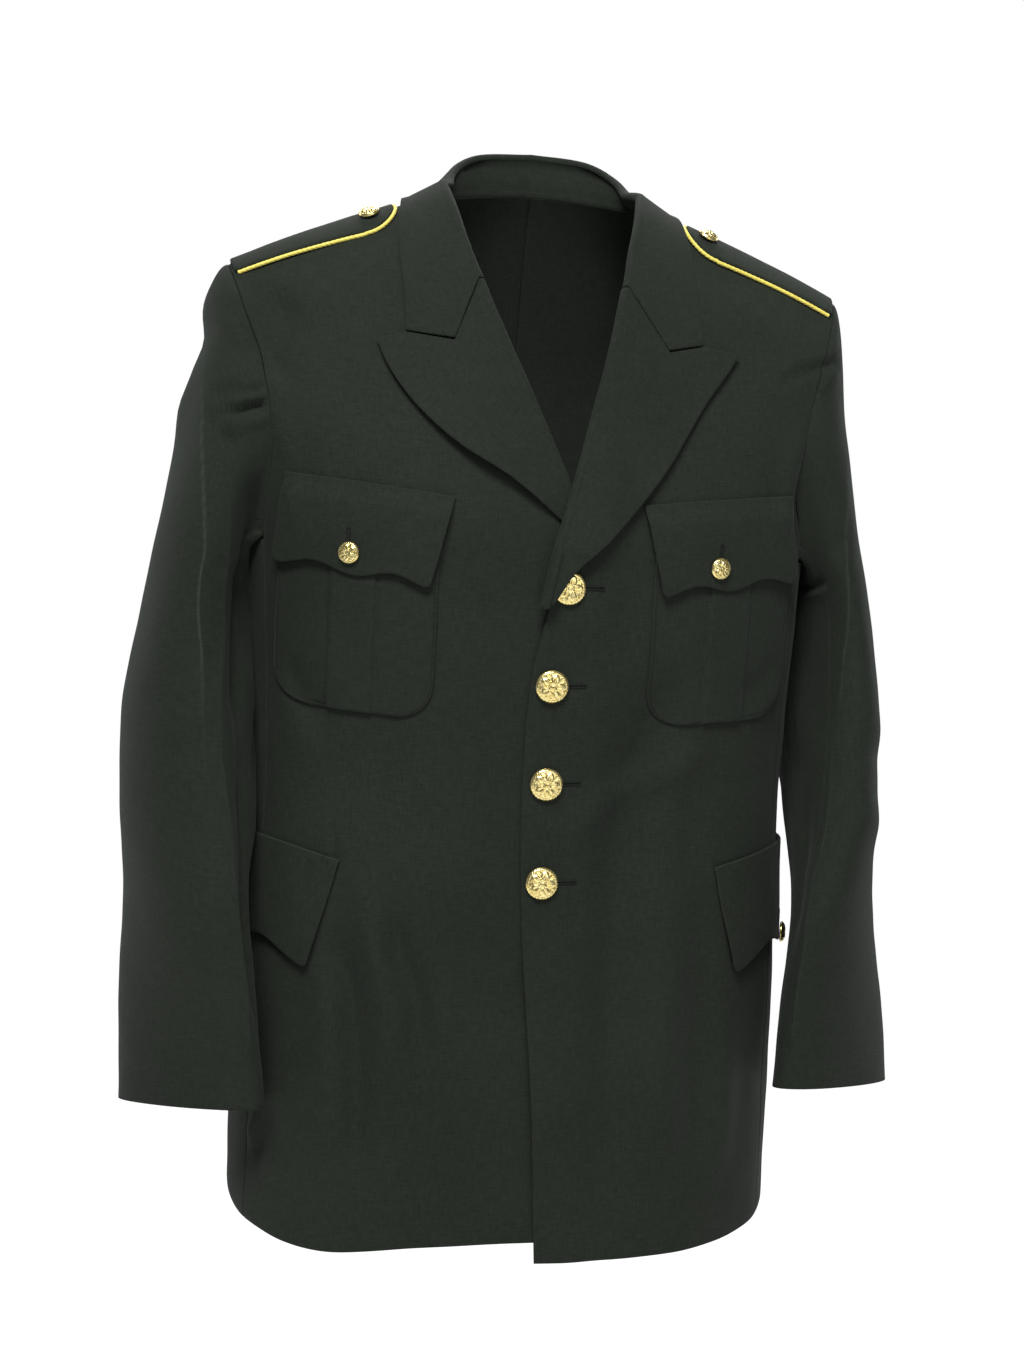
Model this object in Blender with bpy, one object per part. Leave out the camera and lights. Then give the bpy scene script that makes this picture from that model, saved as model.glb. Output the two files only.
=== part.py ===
"""Dress uniform jacket in its worn shape, with no wearer.

Metres, +Z up. The wearer faces -Y, and the wearer's left is +X. The origin is the middle of the
neck opening, level with the points where the shoulder seams meet the neck. All sizes below are
in millimetres and are scaled once, when a mesh is made.
"""

import bmesh
import bpy
import numpy as np

MM = 0.001
LEFT, RIGHT = 1, -1
SIDES = {"L": LEFT, "R": RIGHT}
FRONT, BACK = -1, 1

# ---- driving sizes ----
CLOTH = 2.2  # a panel's wall: two layers of cloth and its canvas
SEAM = 0.4  # gap between pieces that are sewn edge to edge
LAY = 0.6  # gap under a piece that lies on a panel
ARMPIT_Z = -262
NECK_X = 80  # neck end of the shoulder seam
SHOULDER_X = 232  # sleeve end of the shoulder seam
FRONT_SEAM = np.radians(66)  # front and side panels meet here, as a turn from the centre front
BACK_SEAM = np.radians(118)
ROUND = 2.5  # exponent of the body's level sections: 2 is an ellipse
RISE_POWER = {FRONT: 1.6, BACK: 3.0}
DEPTH_POWER = {FRONT: 1.6, BACK: 2.0}

# The body's level sections: half width, and how far the front and the back reach from y = 0.
BODY = [
    dict(z=60, half_width=350, front=112, back=100),
    dict(z=-61, half_width=335, front=118, back=104),
    dict(z=-150, half_width=258, front=124, back=112),
    dict(z=-205, half_width=226, front=127, back=115),
    dict(z=-262, half_width=214, front=128, back=116),
    dict(z=-310, half_width=211, front=128, back=110),
    dict(z=-430, half_width=206, front=122, back=94),
    dict(z=-560, half_width=209, front=124, back=102),
    dict(z=-800, half_width=211, front=130, back=112),
]

# The shoulder line seen from the front. Inside the neck it only shapes the body's surface.
SHOULDER = [
    dict(x=0, z=50),
    dict(x=40, z=33),
    dict(x=60, z=16),
    dict(x=80, z=0),
    dict(x=110, z=-12),
    dict(x=150, z=-27),
    dict(x=190, z=-43),
    dict(x=232, z=-62),
    dict(x=270, z=-80),
]

# The front and back edges of the armhole.
ARMHOLE = [
    dict(z=-262, front=199, back=193.5),
    dict(z=-235, front=197, back=195.5),
    dict(z=-200, front=195, back=198),
    dict(z=-160, front=199, back=205),
    dict(z=-110, front=214, back=218),
    dict(z=-62, front=232, back=232),
]

# Each front's inner edge, from its own side: the roll line of the lapel, then the front edge.
FRONT_EDGE = [
    dict(z=0, left=80, right=80),
    dict(z=-35, left=66, right=63),
    dict(z=-71, left=55, right=51),
    dict(z=-112, left=45, right=35),
    dict(z=-165, left=31, right=12),
    dict(z=-228, left=14, right=-17),
    dict(z=-264, left=6, right=-24),
    dict(z=-300, left=-1, right=-25),
    dict(z=-340, left=-9, right=-26),
    dict(z=-430, left=-13, right=-27),
    dict(z=-530, left=-9, right=-27),
    dict(z=-660, left=3, right=-29),
    dict(z=-780, left=11, right=-32),
]

# The hem's height round the body, as a turn in degrees from the centre front.
HEM = [
    dict(turn=-10, left=-780, right=-764),
    dict(turn=15, left=-780, right=-770),
    dict(turn=35, left=-778, right=-779),
    dict(turn=66, left=-770, right=-771),
    dict(turn=90, left=-757, right=-760),
    dict(turn=118, left=-764, right=-766),
    dict(turn=180, left=-776, right=-776),
]

# The lapel's outer edge, from its peak down to where it rolls into the front edge.
LAPEL_EDGE = [
    dict(at=0.0, left_x=140, left_z=-115, right_x=124, right_z=-119),
    dict(at=0.07, left_x=134, left_z=-124, right_x=119, right_z=-131),
    dict(at=0.25, left_x=113, left_z=-152, right_x=101, right_z=-158),
    dict(at=0.5, left_x=80, left_z=-205, right_x=66, right_z=-190),
    dict(at=0.75, left_x=41, left_z=-252, right_x=26, right_z=-214),
    dict(at=0.9, left_x=17, left_z=-275, right_x=3, right_z=-231),
    dict(at=1.0, left_x=4, left_z=-296, right_x=-12, right_z=-243),
]
ROLL_END_Z = {LEFT: -301, RIGHT: -247}
GORGE_Z = -71  # where the collar, the lapel and the roll line meet
NOTCH_INNER = {LEFT: (86, -117), RIGHT: (69, -117)}
NOTCH_OUTER = {LEFT: (112, -111), RIGHT: (104, -113)}
NOTCH_SLIT = 1.2

# The collar from its front end (at = 0) to the centre back (at = 1). The base is a point of the
# neck seam; fold is the middle of the bend; the edge is a point over the body.
COLLAR = [
    dict(at=0.00, base_x=55, fold_x=55, fold_y=-76, fold_z=-69, edge_x=112, edge_y=-82, edge_z=-108),
    dict(at=0.20, base_x=64, fold_x=60, fold_y=-58, fold_z=-44, edge_x=109, edge_y=-55, edge_z=-62),
    dict(at=0.45, base_x=80, fold_x=68, fold_y=-10, fold_z=-2, edge_x=106, edge_y=-6, edge_z=-6),
    dict(at=0.62, base_x=72, fold_x=67, fold_y=28, fold_z=22, edge_x=98, edge_y=44, edge_z=-5),
    dict(at=0.80, base_x=48, fold_x=46, fold_y=53, fold_z=40, edge_x=66, edge_y=70, edge_z=-5),
    dict(at=1.00, base_x=0, fold_x=0, fold_y=63, fold_z=46, edge_x=0, edge_y=76, edge_z=-4),
]
NAPE_Z = 14

# The sleeve below its cap: half its width from front to back, and how fast its front rises above
# its back. On each side: how far out and forward its middle is, half its width across, and how far
# its section is turned towards the body, in degrees.
SLEEVE = [
    dict(z=-300, long=84, tilt=0),
    dict(z=-390, long=80, tilt=0.05),
    dict(z=-465, long=76, tilt=0.1),
    dict(z=-540, long=73, tilt=0.15),
    dict(z=-620, long=70, tilt=0.18),
    dict(z=-672, long=68, tilt=0.22),
]
SLEEVE_SIDE = {
    LEFT: [
        dict(z=-300, x=243, y=-3, short=26, turn=0),
        dict(z=-390, x=246, y=-17, short=32, turn=0),
        dict(z=-465, x=247, y=-36, short=32, turn=7),
        dict(z=-540, x=249, y=-53, short=29, turn=28),
        dict(z=-620, x=251, y=-61, short=27, turn=44),
        dict(z=-672, x=252, y=-64, short=26, turn=51),
    ],
    RIGHT: [
        dict(z=-300, x=251, y=-8, short=36, turn=3),
        dict(z=-390, x=254, y=-28, short=44, turn=13),
        dict(z=-465, x=252, y=-40, short=43, turn=20),
        dict(z=-540, x=250, y=-55, short=32, turn=30),
        dict(z=-620, x=245, y=-62, short=27, turn=43),
        dict(z=-672, x=241, y=-64, short=26, turn=48),
    ],
}
SLEEVE_END = {LEFT: -666, RIGHT: -683}
SLEEVE_SEAMS = np.radians([-95, 125])  # back and front seam, as a turn from the outermost line
CAP_OUT = {LEFT: 12, RIGHT: 20}  # how far the sleeve head stands out of the armhole

STRAPS = {
    LEFT: dict(tip_x=111, end_x=230, tip_half=20, end_half=24, tip_y=-12, end_y=-3, button_in=15, forward=3),
    RIGHT: dict(tip_x=111, end_x=230, tip_half=20, end_half=24, tip_y=-9, end_y=3, button_in=17, forward=5),
}
PIPING_RADIUS = 1.5

BREAST_BUTTON = {LEFT: dict(x=123, z=-268), RIGHT: dict(x=137, z=-268)}
LOWER_BUTTON = dict(x=203, z=-551)
FRONT_BUTTONS = [dict(x=14, z=-286), dict(x=6, z=-356), dict(x=6, z=-427), dict(x=6, z=-499)]
FRONT_BUTTON = dict(radius=12, height=5.2, petals=5, around=20)
SMALL_BUTTON = dict(radius=8, height=4.6, petals=5, around=15)

# How finely each piece is divided.
STEPS = dict(
    upper=11, lower=8, front=12, side=6, back=10, lapel=10, gorge=4, notch=2, peak=2,
    collar=10, leaf=8, leaf_notch=3, stand=2, bend=4, sleeve_top=15, sleeve_under=8, cap=8, arm=7,
    strap=12, strap_across=7, piping=10, pocket=6, pocket_half=5, flap=14, flap_drop=4,
)

CLOTH_COLOUR = (0.012, 0.014, 0.016)
PIPING_COLOUR = (0.85, 0.62, 0.06)
GILT_COLOUR = (0.83, 0.62, 0.22)


# ---- curves and surfaces ----
def smooth_through(rows, along, value):
    """A smooth function through one column of a table, against another."""
    at, values = (np.array(c, float) for c in zip(*sorted((row[along], row[value]) for row in rows)))
    slopes = np.gradient(values, at)

    def height(x):
        x = np.clip(x, at[0], at[-1])
        i = np.clip(np.searchsorted(at, x) - 1, 0, len(at) - 2)
        step = at[i + 1] - at[i]
        t = (x - at[i]) / step
        return (
            (1 + 2 * t) * (1 - t) ** 2 * values[i]
            + t * (1 - t) ** 2 * step * slopes[i]
            + t * t * (3 - 2 * t) * values[i + 1]
            + t * t * (t - 1) * step * slopes[i + 1]
        )

    return height


def name_of(side):
    return "left" if side == LEFT else "right"


half_width = smooth_through(BODY, "z", "half_width")
front_reach = smooth_through(BODY, "z", "front")
back_reach = smooth_through(BODY, "z", "back")
shoulder_z = smooth_through(SHOULDER, "x", "z")
front_armhole = smooth_through(ARMHOLE, "z", "front")
back_armhole = smooth_through(ARMHOLE, "z", "back")
front_edge = {side: smooth_through(FRONT_EDGE, "z", name_of(side)) for side in SIDES.values()}
hem_z = {side: smooth_through(HEM, "turn", name_of(side)) for side in SIDES.values()}


def blend(a, b, t):
    return a + (b - a) * t


def ease(low, high, x):
    """0 below low, 1 above high, smooth between."""
    t = np.clip((x - low) / (high - low), 0, 1)
    return t * t * (3 - 2 * t)


def points_of(x, y, z):
    return np.stack(np.broadcast_arrays(x, y, z), axis=-1).astype(float)


def unit(vectors):
    return vectors / np.maximum(np.linalg.norm(vectors, axis=-1, keepdims=True), 1e-9)


def by_face(face, values):
    return np.where(face < 0, values[FRONT], values[BACK])


def reach(z, face):
    return np.where(face < 0, front_reach(z), back_reach(z))


def body_depth(x, z, face):
    """How far the body stands in front of (or behind) y = 0 at this place."""
    across = np.clip(1 - (np.abs(x) / half_width(z)) ** ROUND, 0, 1) ** (1 / ROUND)
    rise = np.clip((z - ARMPIT_Z) / (shoulder_z(np.abs(x)) - ARMPIT_Z), 0, 1)
    over = np.clip(1 - rise ** by_face(face, RISE_POWER), 0, 1) ** (1 / by_face(face, DEPTH_POWER))
    return reach(z, face) * across * over


def on_body(x, z, face):
    return points_of(x, face * body_depth(x, z, face), z)


def turn_at(x, z):
    """The turn from the centre front (or back) at which the body has this x."""
    return np.sign(x) * np.arcsin(np.clip(np.abs(x) / half_width(z), 0, 1) ** (ROUND / 2))


def x_at(turn, z):
    return half_width(z) * np.sign(turn) * np.abs(np.sin(turn)) ** (2 / ROUND)


def round_body(turn, z):
    """A point of the body below the armpits, by its turn from the centre front."""
    face = np.where(np.cos(turn) >= 0, FRONT, BACK)
    depth = reach(z, face) * np.abs(np.cos(turn)) ** (2 / ROUND)
    return points_of(x_at(turn, z), face * depth, z), face


def body_level(points, face, below):
    """0 on the body's surface and growing outwards."""
    x, y, z = np.abs(points[..., 0]), np.abs(points[..., 1]), points[..., 2]
    wide = x / half_width(z)
    lower = wide**ROUND + (y / reach(z, face)) ** ROUND - 1
    across = np.clip(1 - wide**ROUND, 0.01, 1) ** (1 / ROUND)
    rise = np.clip((z - ARMPIT_Z) / (shoulder_z(x) - ARMPIT_Z), 0, None)
    thick = (y / (reach(z, face) * across)) ** by_face(face, DEPTH_POWER)
    upper = thick + rise ** by_face(face, RISE_POWER) - 1
    return np.where(below, lower, upper)


def body_slope(points, face):
    """The gradient of body_level."""
    below = points[..., 2] <= ARMPIT_Z
    step = 0.25
    slopes = [
        body_level(points + move, face, below) - body_level(points - move, face, below)
        for move in step * np.eye(3)
    ]
    return np.stack(slopes, axis=-1) / (2 * step)


def lifted(points, face, lift):
    """The points moved straight out of the body."""
    lift = np.broadcast_to(lift, points.shape[:-1])[..., None]
    return points + unit(body_slope(points, face)) * lift


def lift_of(points, face):
    """Roughly how far each point stands out of the body."""
    below = points[..., 2] <= ARMPIT_Z
    size = np.linalg.norm(body_slope(points, face), axis=-1)
    return body_level(points, face, below) / np.maximum(size, 1e-6)


def over_shoulder(x, y):
    """A point on top of the shoulder, by its distance in front of (-) or behind the seam."""
    face = np.where(y < 0, FRONT, BACK)
    z = shoulder_z(x) + 0.0 * y
    for _ in range(3):
        across = (1 - (x / half_width(z)) ** ROUND) ** (1 / ROUND)
        share = (np.abs(y) / (reach(z, face) * across)) ** by_face(face, DEPTH_POWER)
        rise = np.clip(1 - share, 0, 1) ** (1 / by_face(face, RISE_POWER))
        z = ARMPIT_Z + (shoulder_z(x) - ARMPIT_Z) * rise
    return points_of(x, y, z), face


def normals_of(grid):
    """The normal of a grid of points, from its neighbours along rows and columns."""
    return unit(np.cross(np.gradient(grid, axis=1), np.gradient(grid, axis=0)))


def overlap_lift(x, z):
    """How far the left front is raised to pass over the right front and its lapel's lower end."""
    tip = ease(-340, -302, z)
    return (3.0 + 3.3 * tip) * (1 - ease(32, 66, x)) * (1 - ease(-200, -165, z))


# ---- making the objects ----
def mirrored(grid, side):
    return grid * np.array([side, 1, 1])


def material(name, colour, roughness, metallic=0.0):
    made = bpy.data.materials.get(name) or bpy.data.materials.new(name)
    made.use_nodes = True
    shader = made.node_tree.nodes["Principled BSDF"]
    shader.inputs["Base Color"].default_value = (*colour, 1)
    shader.inputs["Roughness"].default_value = roughness
    shader.inputs["Metallic"].default_value = metallic
    return made


def add_object(name, points, faces, finish):
    mesh = bpy.data.meshes.new(name)
    mesh.from_pydata((np.asarray(points) * MM).tolist(), [], faces)
    shape = bmesh.new()
    shape.from_mesh(mesh)
    bmesh.ops.recalc_face_normals(shape, faces=shape.faces)
    shape.to_mesh(mesh)
    shape.free()
    mesh.shade_smooth()
    mesh.set_sharp_from_angle(angle=np.radians(40))
    mesh.materials.append(finish)
    made = bpy.data.objects.new(name, mesh)
    bpy.context.scene.collection.objects.link(made)
    return made


def grid_faces(rows, columns, start, flip):
    faces = []
    for i in range(rows - 1):
        for j in range(columns - 1):
            a = start + i * columns + j
            quad = (a, a + 1, a + columns + 1, a + columns)
            faces.append(quad[::-1] if flip else quad)
    return faces


def wall(name, inner, outer, finish):
    """A closed sheet between two grids of points."""
    rows, columns = inner.shape[:2]
    count = rows * columns
    faces = grid_faces(rows, columns, 0, True) + grid_faces(rows, columns, count, False)
    rim = [j for j in range(columns)]
    rim += [i * columns + columns - 1 for i in range(1, rows)]
    rim += [(rows - 1) * columns + j for j in range(columns - 2, -1, -1)]
    rim += [i * columns for i in range(rows - 2, 0, -1)]
    faces += [(a, b, b + count, a + count) for a, b in zip(rim, rim[1:] + rim[:1])]
    points = np.concatenate([inner.reshape(-1, 3), outer.reshape(-1, 3)])
    return add_object(name, points, faces, finish)


def cloth():
    return material("uniform_cloth", CLOTH_COLOUR, 0.85)


def body_wall(points, face, low, high):
    """The two faces of a sheet that follows the body between two lifts."""
    return lifted(points, face, low), lifted(points, face, high)


def thick_wall(grid, normals, thickness):
    """The two faces of a sheet whose middle is the grid."""
    out = normals * thickness / 2
    return grid - out, grid + out


# ---- fronts, sides and backs ----
EDGE_IN = 1.8  # the front stops this far inside the roll line, where the lapel is sewn to it


def upper_rise(face):
    """Steps from the armpit level (0) to the shoulder line (1), closer where the body turns over."""
    return np.sin(np.linspace(0, np.pi / 2, STEPS["upper"] + 1)) ** (2 / RISE_POWER[face])


def lower_levels():
    """Steps from the hem (0) to just below the armpit level (1)."""
    return np.linspace(0, 1, STEPS["lower"] + 1)[:-1, None]


def front_points(side):
    """The front's grid, from the hem up: rows are heights, columns run from the inner edge out."""
    u = np.linspace(0, 1, STEPS["front"] + 1)
    rise = upper_rise(FRONT)[:, None]
    top_x = blend(NECK_X + SEAM, SHOULDER_X, u)
    z_inner = ARMPIT_Z * (1 - rise)
    z_outer = blend(ARMPIT_Z, shoulder_z(SHOULDER_X), rise)
    z = ARMPIT_Z + (shoulder_z(top_x) - ARMPIT_Z) * rise
    inner = front_edge[side](z_inner) + EDGE_IN
    turn = blend(turn_at(inner, z_inner), turn_at(front_armhole(z_outer), z_outer), u)
    x = np.where(rise < 1, x_at(turn, z), top_x)
    x = blend(x, blend(inner, front_armhole(z_outer), u), ease(0.5, 1, rise))
    depth_cut = SEAM / 2 * ease(0.9, 1, rise)
    upper = on_body(x, z, FRONT)
    upper[..., 1] = np.minimum(upper[..., 1], -depth_cut)

    level = lower_levels()
    seam = np.degrees(FRONT_SEAM)
    bottom = hem_z[side](blend(-5, seam, u))
    z = blend(bottom, ARMPIT_Z, level)
    inner = front_edge[side](z) + EDGE_IN
    turn = blend(turn_at(inner, z), FRONT_SEAM - SEAM / 2 / half_width(z), u)
    lower, _ = round_body(turn, z)
    return np.concatenate([lower, upper])


def front_walls(side):
    points = front_points(side)
    raised = overlap_lift(points[..., 0], points[..., 2]) if side == LEFT else 0 * points[..., 0]
    return body_wall(points, FRONT, raised, raised + CLOTH)


def side_walls(side):
    u = np.linspace(0, 1, STEPS["side"] + 1)
    level = np.linspace(0, 1, STEPS["lower"] + 1)[:, None]
    bottom = hem_z[side](np.degrees(blend(FRONT_SEAM, BACK_SEAM, u)))
    z = blend(bottom, ARMPIT_Z, level)
    cut = SEAM / 2 / half_width(z)
    points, face = round_body(blend(FRONT_SEAM + cut, BACK_SEAM - cut, u), z)
    return body_wall(points, face, 0, CLOTH)


def neck_z(x):
    """The back neck seam."""
    return NAPE_Z * (1 - (np.abs(x) / NECK_X) ** 2)


def back_points(side):
    """The back's grid, from the hem up; columns run from the side seam to the centre back."""
    u = np.linspace(0, 1, STEPS["back"] + 1)
    neck_column = 0.62
    top_x = np.where(
        u < neck_column,
        blend(SHOULDER_X, NECK_X + SEAM, np.minimum(u / neck_column, 1)),
        (NECK_X + SEAM) * (1 - ((u - neck_column) / (1 - neck_column))),
    )
    top_z = np.where(u < neck_column, shoulder_z(top_x), neck_z(np.minimum(top_x, NECK_X)))
    rise = upper_rise(BACK)[:, None]
    z = ARMPIT_Z + (top_z - ARMPIT_Z) * rise
    z_outer = blend(ARMPIT_Z, shoulder_z(SHOULDER_X), rise)
    outer = back_armhole(z_outer) - SEAM / 2
    straight = x_at((np.pi - BACK_SEAM) * (1 - u), ARMPIT_Z) / x_at(BACK_SEAM, ARMPIT_Z)
    x = outer * blend(straight, top_x / SHOULDER_X, rise**1.5)
    x = np.maximum(x, SEAM / 2)
    upper = on_body(x, z, BACK)
    upper[..., 1] = np.maximum(upper[..., 1], SEAM / 2 * ease(0.9, 1, rise))

    level = lower_levels()
    turn = blend(BACK_SEAM, np.pi, u)
    bottom = hem_z[side](np.degrees(turn))
    z = blend(bottom, ARMPIT_Z, level)
    lower, _ = round_body(blend(BACK_SEAM, np.pi, u) + SEAM / 2 / half_width(z) * (1 - u), z)
    lower[..., 0] = np.maximum(lower[..., 0], SEAM / 2)
    return np.concatenate([lower, upper])


def back_walls(side):
    return body_wall(back_points(side), BACK, 0, CLOTH)


# ---- lapels and collar ----
def folded_over(base, fold, out, radius):
    """Points from a base up to a fold and round it, ready to lie back down on the outside."""
    up = fold - base
    up = unit(up - out * np.sum(up * out, axis=-1, keepdims=True))
    stand_end = fold - out * radius
    path = [blend(base, stand_end, t) for t in np.linspace(0, 1, STEPS["stand"] + 1)[:-1]]
    for angle in np.linspace(-np.pi / 2, np.pi / 2, STEPS["bend"] + 1):
        path.append(fold + radius * (up * np.cos(angle) + out * np.sin(angle)))
    return path


ROLL = 2.8  # radius of the bend at the roll line, to the middle of the cloth
FOLD_LIFT = 4.5  # the collar's fold stays this far above the fronts and backs


def roll_radius(z, side):
    """The bend is tight where the right lapel ends under the left front, and loose over the button."""
    if side == RIGHT:
        return blend(ROLL, 1.7, ease(170, 205, -z))
    return blend(ROLL, 5.0, ease(225, 262, -z))


def roll_frame(z, side):
    """The base, the fold and the outward direction of the lapel's bend at these heights."""
    edge = front_edge[side](z)
    lift = CLOTH / 2 + (overlap_lift(edge, z) if side == LEFT else 0 * z)
    radius = roll_radius(z, side)[..., None]
    inner = on_body(edge + EDGE_IN - 0.6, z, FRONT)
    line = on_body(edge, z, FRONT)
    out = unit(body_slope(line, FRONT))
    return lifted(inner, FRONT, lift), lifted(line, FRONT, lift) + out * radius, out, radius


def notch_line(side, gorge_steps, notch_steps):
    """The end of the collar, from the roll line along the gorge to the notch and the leaf's corner."""
    start = np.array([front_edge[side](GORGE_Z), GORGE_Z])
    gorge = np.linspace(start, NOTCH_INNER[side], gorge_steps + 1)
    return np.concatenate([gorge, np.linspace(NOTCH_INNER[side], NOTCH_OUTER[side], notch_steps + 1)[1:]])


def lapel_points(side):
    """Rows run down the roll line; columns go round the bend and out to the lapel's edge."""
    r = np.linspace(0, 1, STEPS["lapel"] + 1)
    roll_z = blend(GORGE_Z, ROLL_END_Z[side], r)
    base, fold, out, radius = roll_frame(roll_z, side)
    bend = folded_over(base, fold, out, radius)

    at = {key: smooth_through(LAPEL_EDGE, "at", f"{name_of(side)}_{key}")(r) for key in "xz"}
    peak = (at["x"][0], at["z"][0])
    tip = np.linspace(NOTCH_OUTER[side], peak, STEPS["peak"] + 1)[1:]
    top = np.concatenate([notch_line(side, STEPS["gorge"], STEPS["notch"]), tip])
    c = np.linspace(0, 1, len(top))
    top = top - blend(top[:1], top[-1:], c[:, None])
    fade = (1 - r[:, None]) ** 3
    x = blend(front_edge[side](roll_z)[:, None], at["x"][:, None], c) + fade * top[:, 0]
    z = blend(roll_z[:, None], at["z"][:, None], c) + fade * top[:, 1]
    start = lift_of(fold + out * radius, FRONT)[:, None]
    if side == LEFT:
        start = start - overlap_lift(x[:, :1], z[:, :1]) + overlap_lift(x, z)
    leaf = lifted(on_body(x, z, FRONT), FRONT, start)
    grid = np.stack(bend + [leaf[:, k] for k in range(1, len(c))], axis=1)
    normals = normals_of(grid)
    normals[:, 0] = out
    return grid, normals


def lapel_walls(side):
    return thick_wall(*lapel_points(side), CLOTH - 0.2)


def collar_half(side):
    """From the gorge (first row) to the centre back (last row); columns go from base to edge."""
    stations = STEPS["collar"] + 1
    at = np.linspace(0, 1, stations)
    row = {k: smooth_through(COLLAR, "at", k)(at) for k in COLLAR[0] if k != "at"}
    gorge = 1 - ease(0, 0.3, at)

    in_front = at < 0.45
    seam_z = np.where(in_front, np.interp(at, [0, 0.2, 0.45], [GORGE_Z, -40, 0]), neck_z(row["base_x"]))
    base_x = np.where(in_front, front_edge[side](seam_z) + EDGE_IN - SEAM, row["base_x"])
    face = np.where(in_front, FRONT, BACK)
    neck = on_body(base_x, np.minimum(seam_z, shoulder_z(base_x)), face)
    out = unit(body_slope(neck, face))
    lean = unit(points_of(row["fold_x"] * 0 + 0.35, row["fold_y"] / 60, 0.9 + 0 * at))
    out = unit(blend(out, lean, (ease(0.25, 0.6, at))[:, None]))
    fold = points_of(row["fold_x"], row["fold_y"], row["fold_z"])
    radius = np.full((stations, 1), ROLL)
    base = neck + out * CLOTH / 2
    end_base, end_fold, end_out, _ = roll_frame(np.array([GORGE_Z + 1.0]), side)
    fold += (end_fold - fold[0]) * gorge[:, None]
    base += (end_base - base[0]) * gorge[:, None]
    out = unit(blend(out, end_out, gorge[:, None]))
    body = unit(body_slope(neck, face))
    body[0] = end_out[0]
    base = base + unit(fold - base) * (SEAM + 0.5) * ease(0, 0.1, at)[:, None]
    fold = lifted(fold, face, np.maximum(FOLD_LIFT - lift_of(fold, face), 0) * (1 - gorge))
    bend = folded_over(base, fold, out, radius)

    t = np.linspace(0, 1, STEPS["leaf"] + 1)[None, :, None]
    start = (fold + out * radius)[:, None, :]
    edge = points_of(row["edge_x"], row["edge_y"], row["edge_z"])[:, None, :]
    leaf = blend(start, edge, t)
    end_line = notch_line(side, STEPS["leaf"] - STEPS["leaf_notch"], STEPS["leaf_notch"])
    slit = blend(0.7, NOTCH_SLIT, np.arange(len(end_line)) > len(end_line) - 2 - STEPS["leaf_notch"])
    end_row = on_body(end_line[:, 0], end_line[:, 1] + slit, FRONT)
    shift = end_row - blend(end_row[:1], end_row[-1:], t[0])
    to_end = end_row[-1] - edge[0, 0]
    leaf = leaf + gorge[:, None, None] * (shift[None] + to_end * t)
    face = np.where(leaf[..., 1] < 0, FRONT, BACK)
    lift = lift_of(leaf, face)
    rest = CLOTH / 2 + 2 * ROLL
    on_chest = (1 - ease(0.25, 0.5, at))[:, None]
    target = blend(np.maximum(lift, rest), rest, on_chest)
    settle = ease(0, 0.14, t[0, :, 0])[None]
    leaf = lifted(leaf, face, (target - lift) * settle)
    return np.concatenate([np.stack(bend[:-1], axis=1), leaf], axis=1), body


def collar_walls():
    left, left_body = collar_half(LEFT)
    right, right_body = collar_half(RIGHT)
    left[-1, :, 0] = 0
    grid = np.concatenate([left, mirrored(right, RIGHT)[-2::-1]])
    normals = normals_of(grid)
    normals[:, 0] = np.concatenate([left_body, mirrored(right_body, RIGHT)[-2::-1]])
    return thick_wall(grid, normals, CLOTH)


# ---- sleeves ----
ARMHOLE_GAP = 1.2
CAP_LEAN = {LEFT: -38, RIGHT: -30}  # how far the sleeve's top leans in above its first level
ARMPIT_UP = 4.0  # under the arm the sleeve passes over the side panel's top edge


def wrapped(turns):
    return (turns + np.pi) % (2 * np.pi) - np.pi


def armhole_loop(turns):
    """Points of the armhole's edge on the body: 0 is the shoulder point, 90 degrees the front."""
    turns = wrapped(turns)
    low = np.radians(150)
    share = np.clip(np.abs(turns) / low, 0, 1)
    top = shoulder_z(SHOULDER_X)
    z = top + (ARMPIT_Z - top) * (1 - np.cos(share * np.pi)) / 2
    front = on_body(front_armhole(z), z, FRONT)
    back = on_body(back_armhole(z), z, BACK)
    across = np.where(turns > 0, turns - low, 2 * np.pi + turns - low) / (2 * np.pi - 2 * low)
    under, _ = round_body(blend(FRONT_SEAM, BACK_SEAM, across), ARMPIT_Z + 0 * turns)
    loop = np.where((turns > 0)[:, None], front, back)
    return np.where((np.abs(turns) > low)[:, None], under, loop)


def sleeve_section(turns, z, side):
    """A level ring of the sleeve: 0 is its outermost line, 90 degrees the front."""
    size = {k: smooth_through(SLEEVE, "z", k)(z) for k in ("long", "tilt")}
    size.update({k: smooth_through(SLEEVE_SIDE[side], "z", k)(z) for k in ("x", "y", "short", "turn")})
    twist = np.radians(size["turn"])
    short = size["short"] * np.cos(turns)
    long = -size["long"] * np.sin(turns)
    x = size["x"] + short * np.cos(twist) + long * np.sin(twist)
    forward = -short * np.sin(twist) + long * np.cos(twist)
    return points_of(x, size["y"] + forward, z - size["tilt"] * forward)


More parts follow.
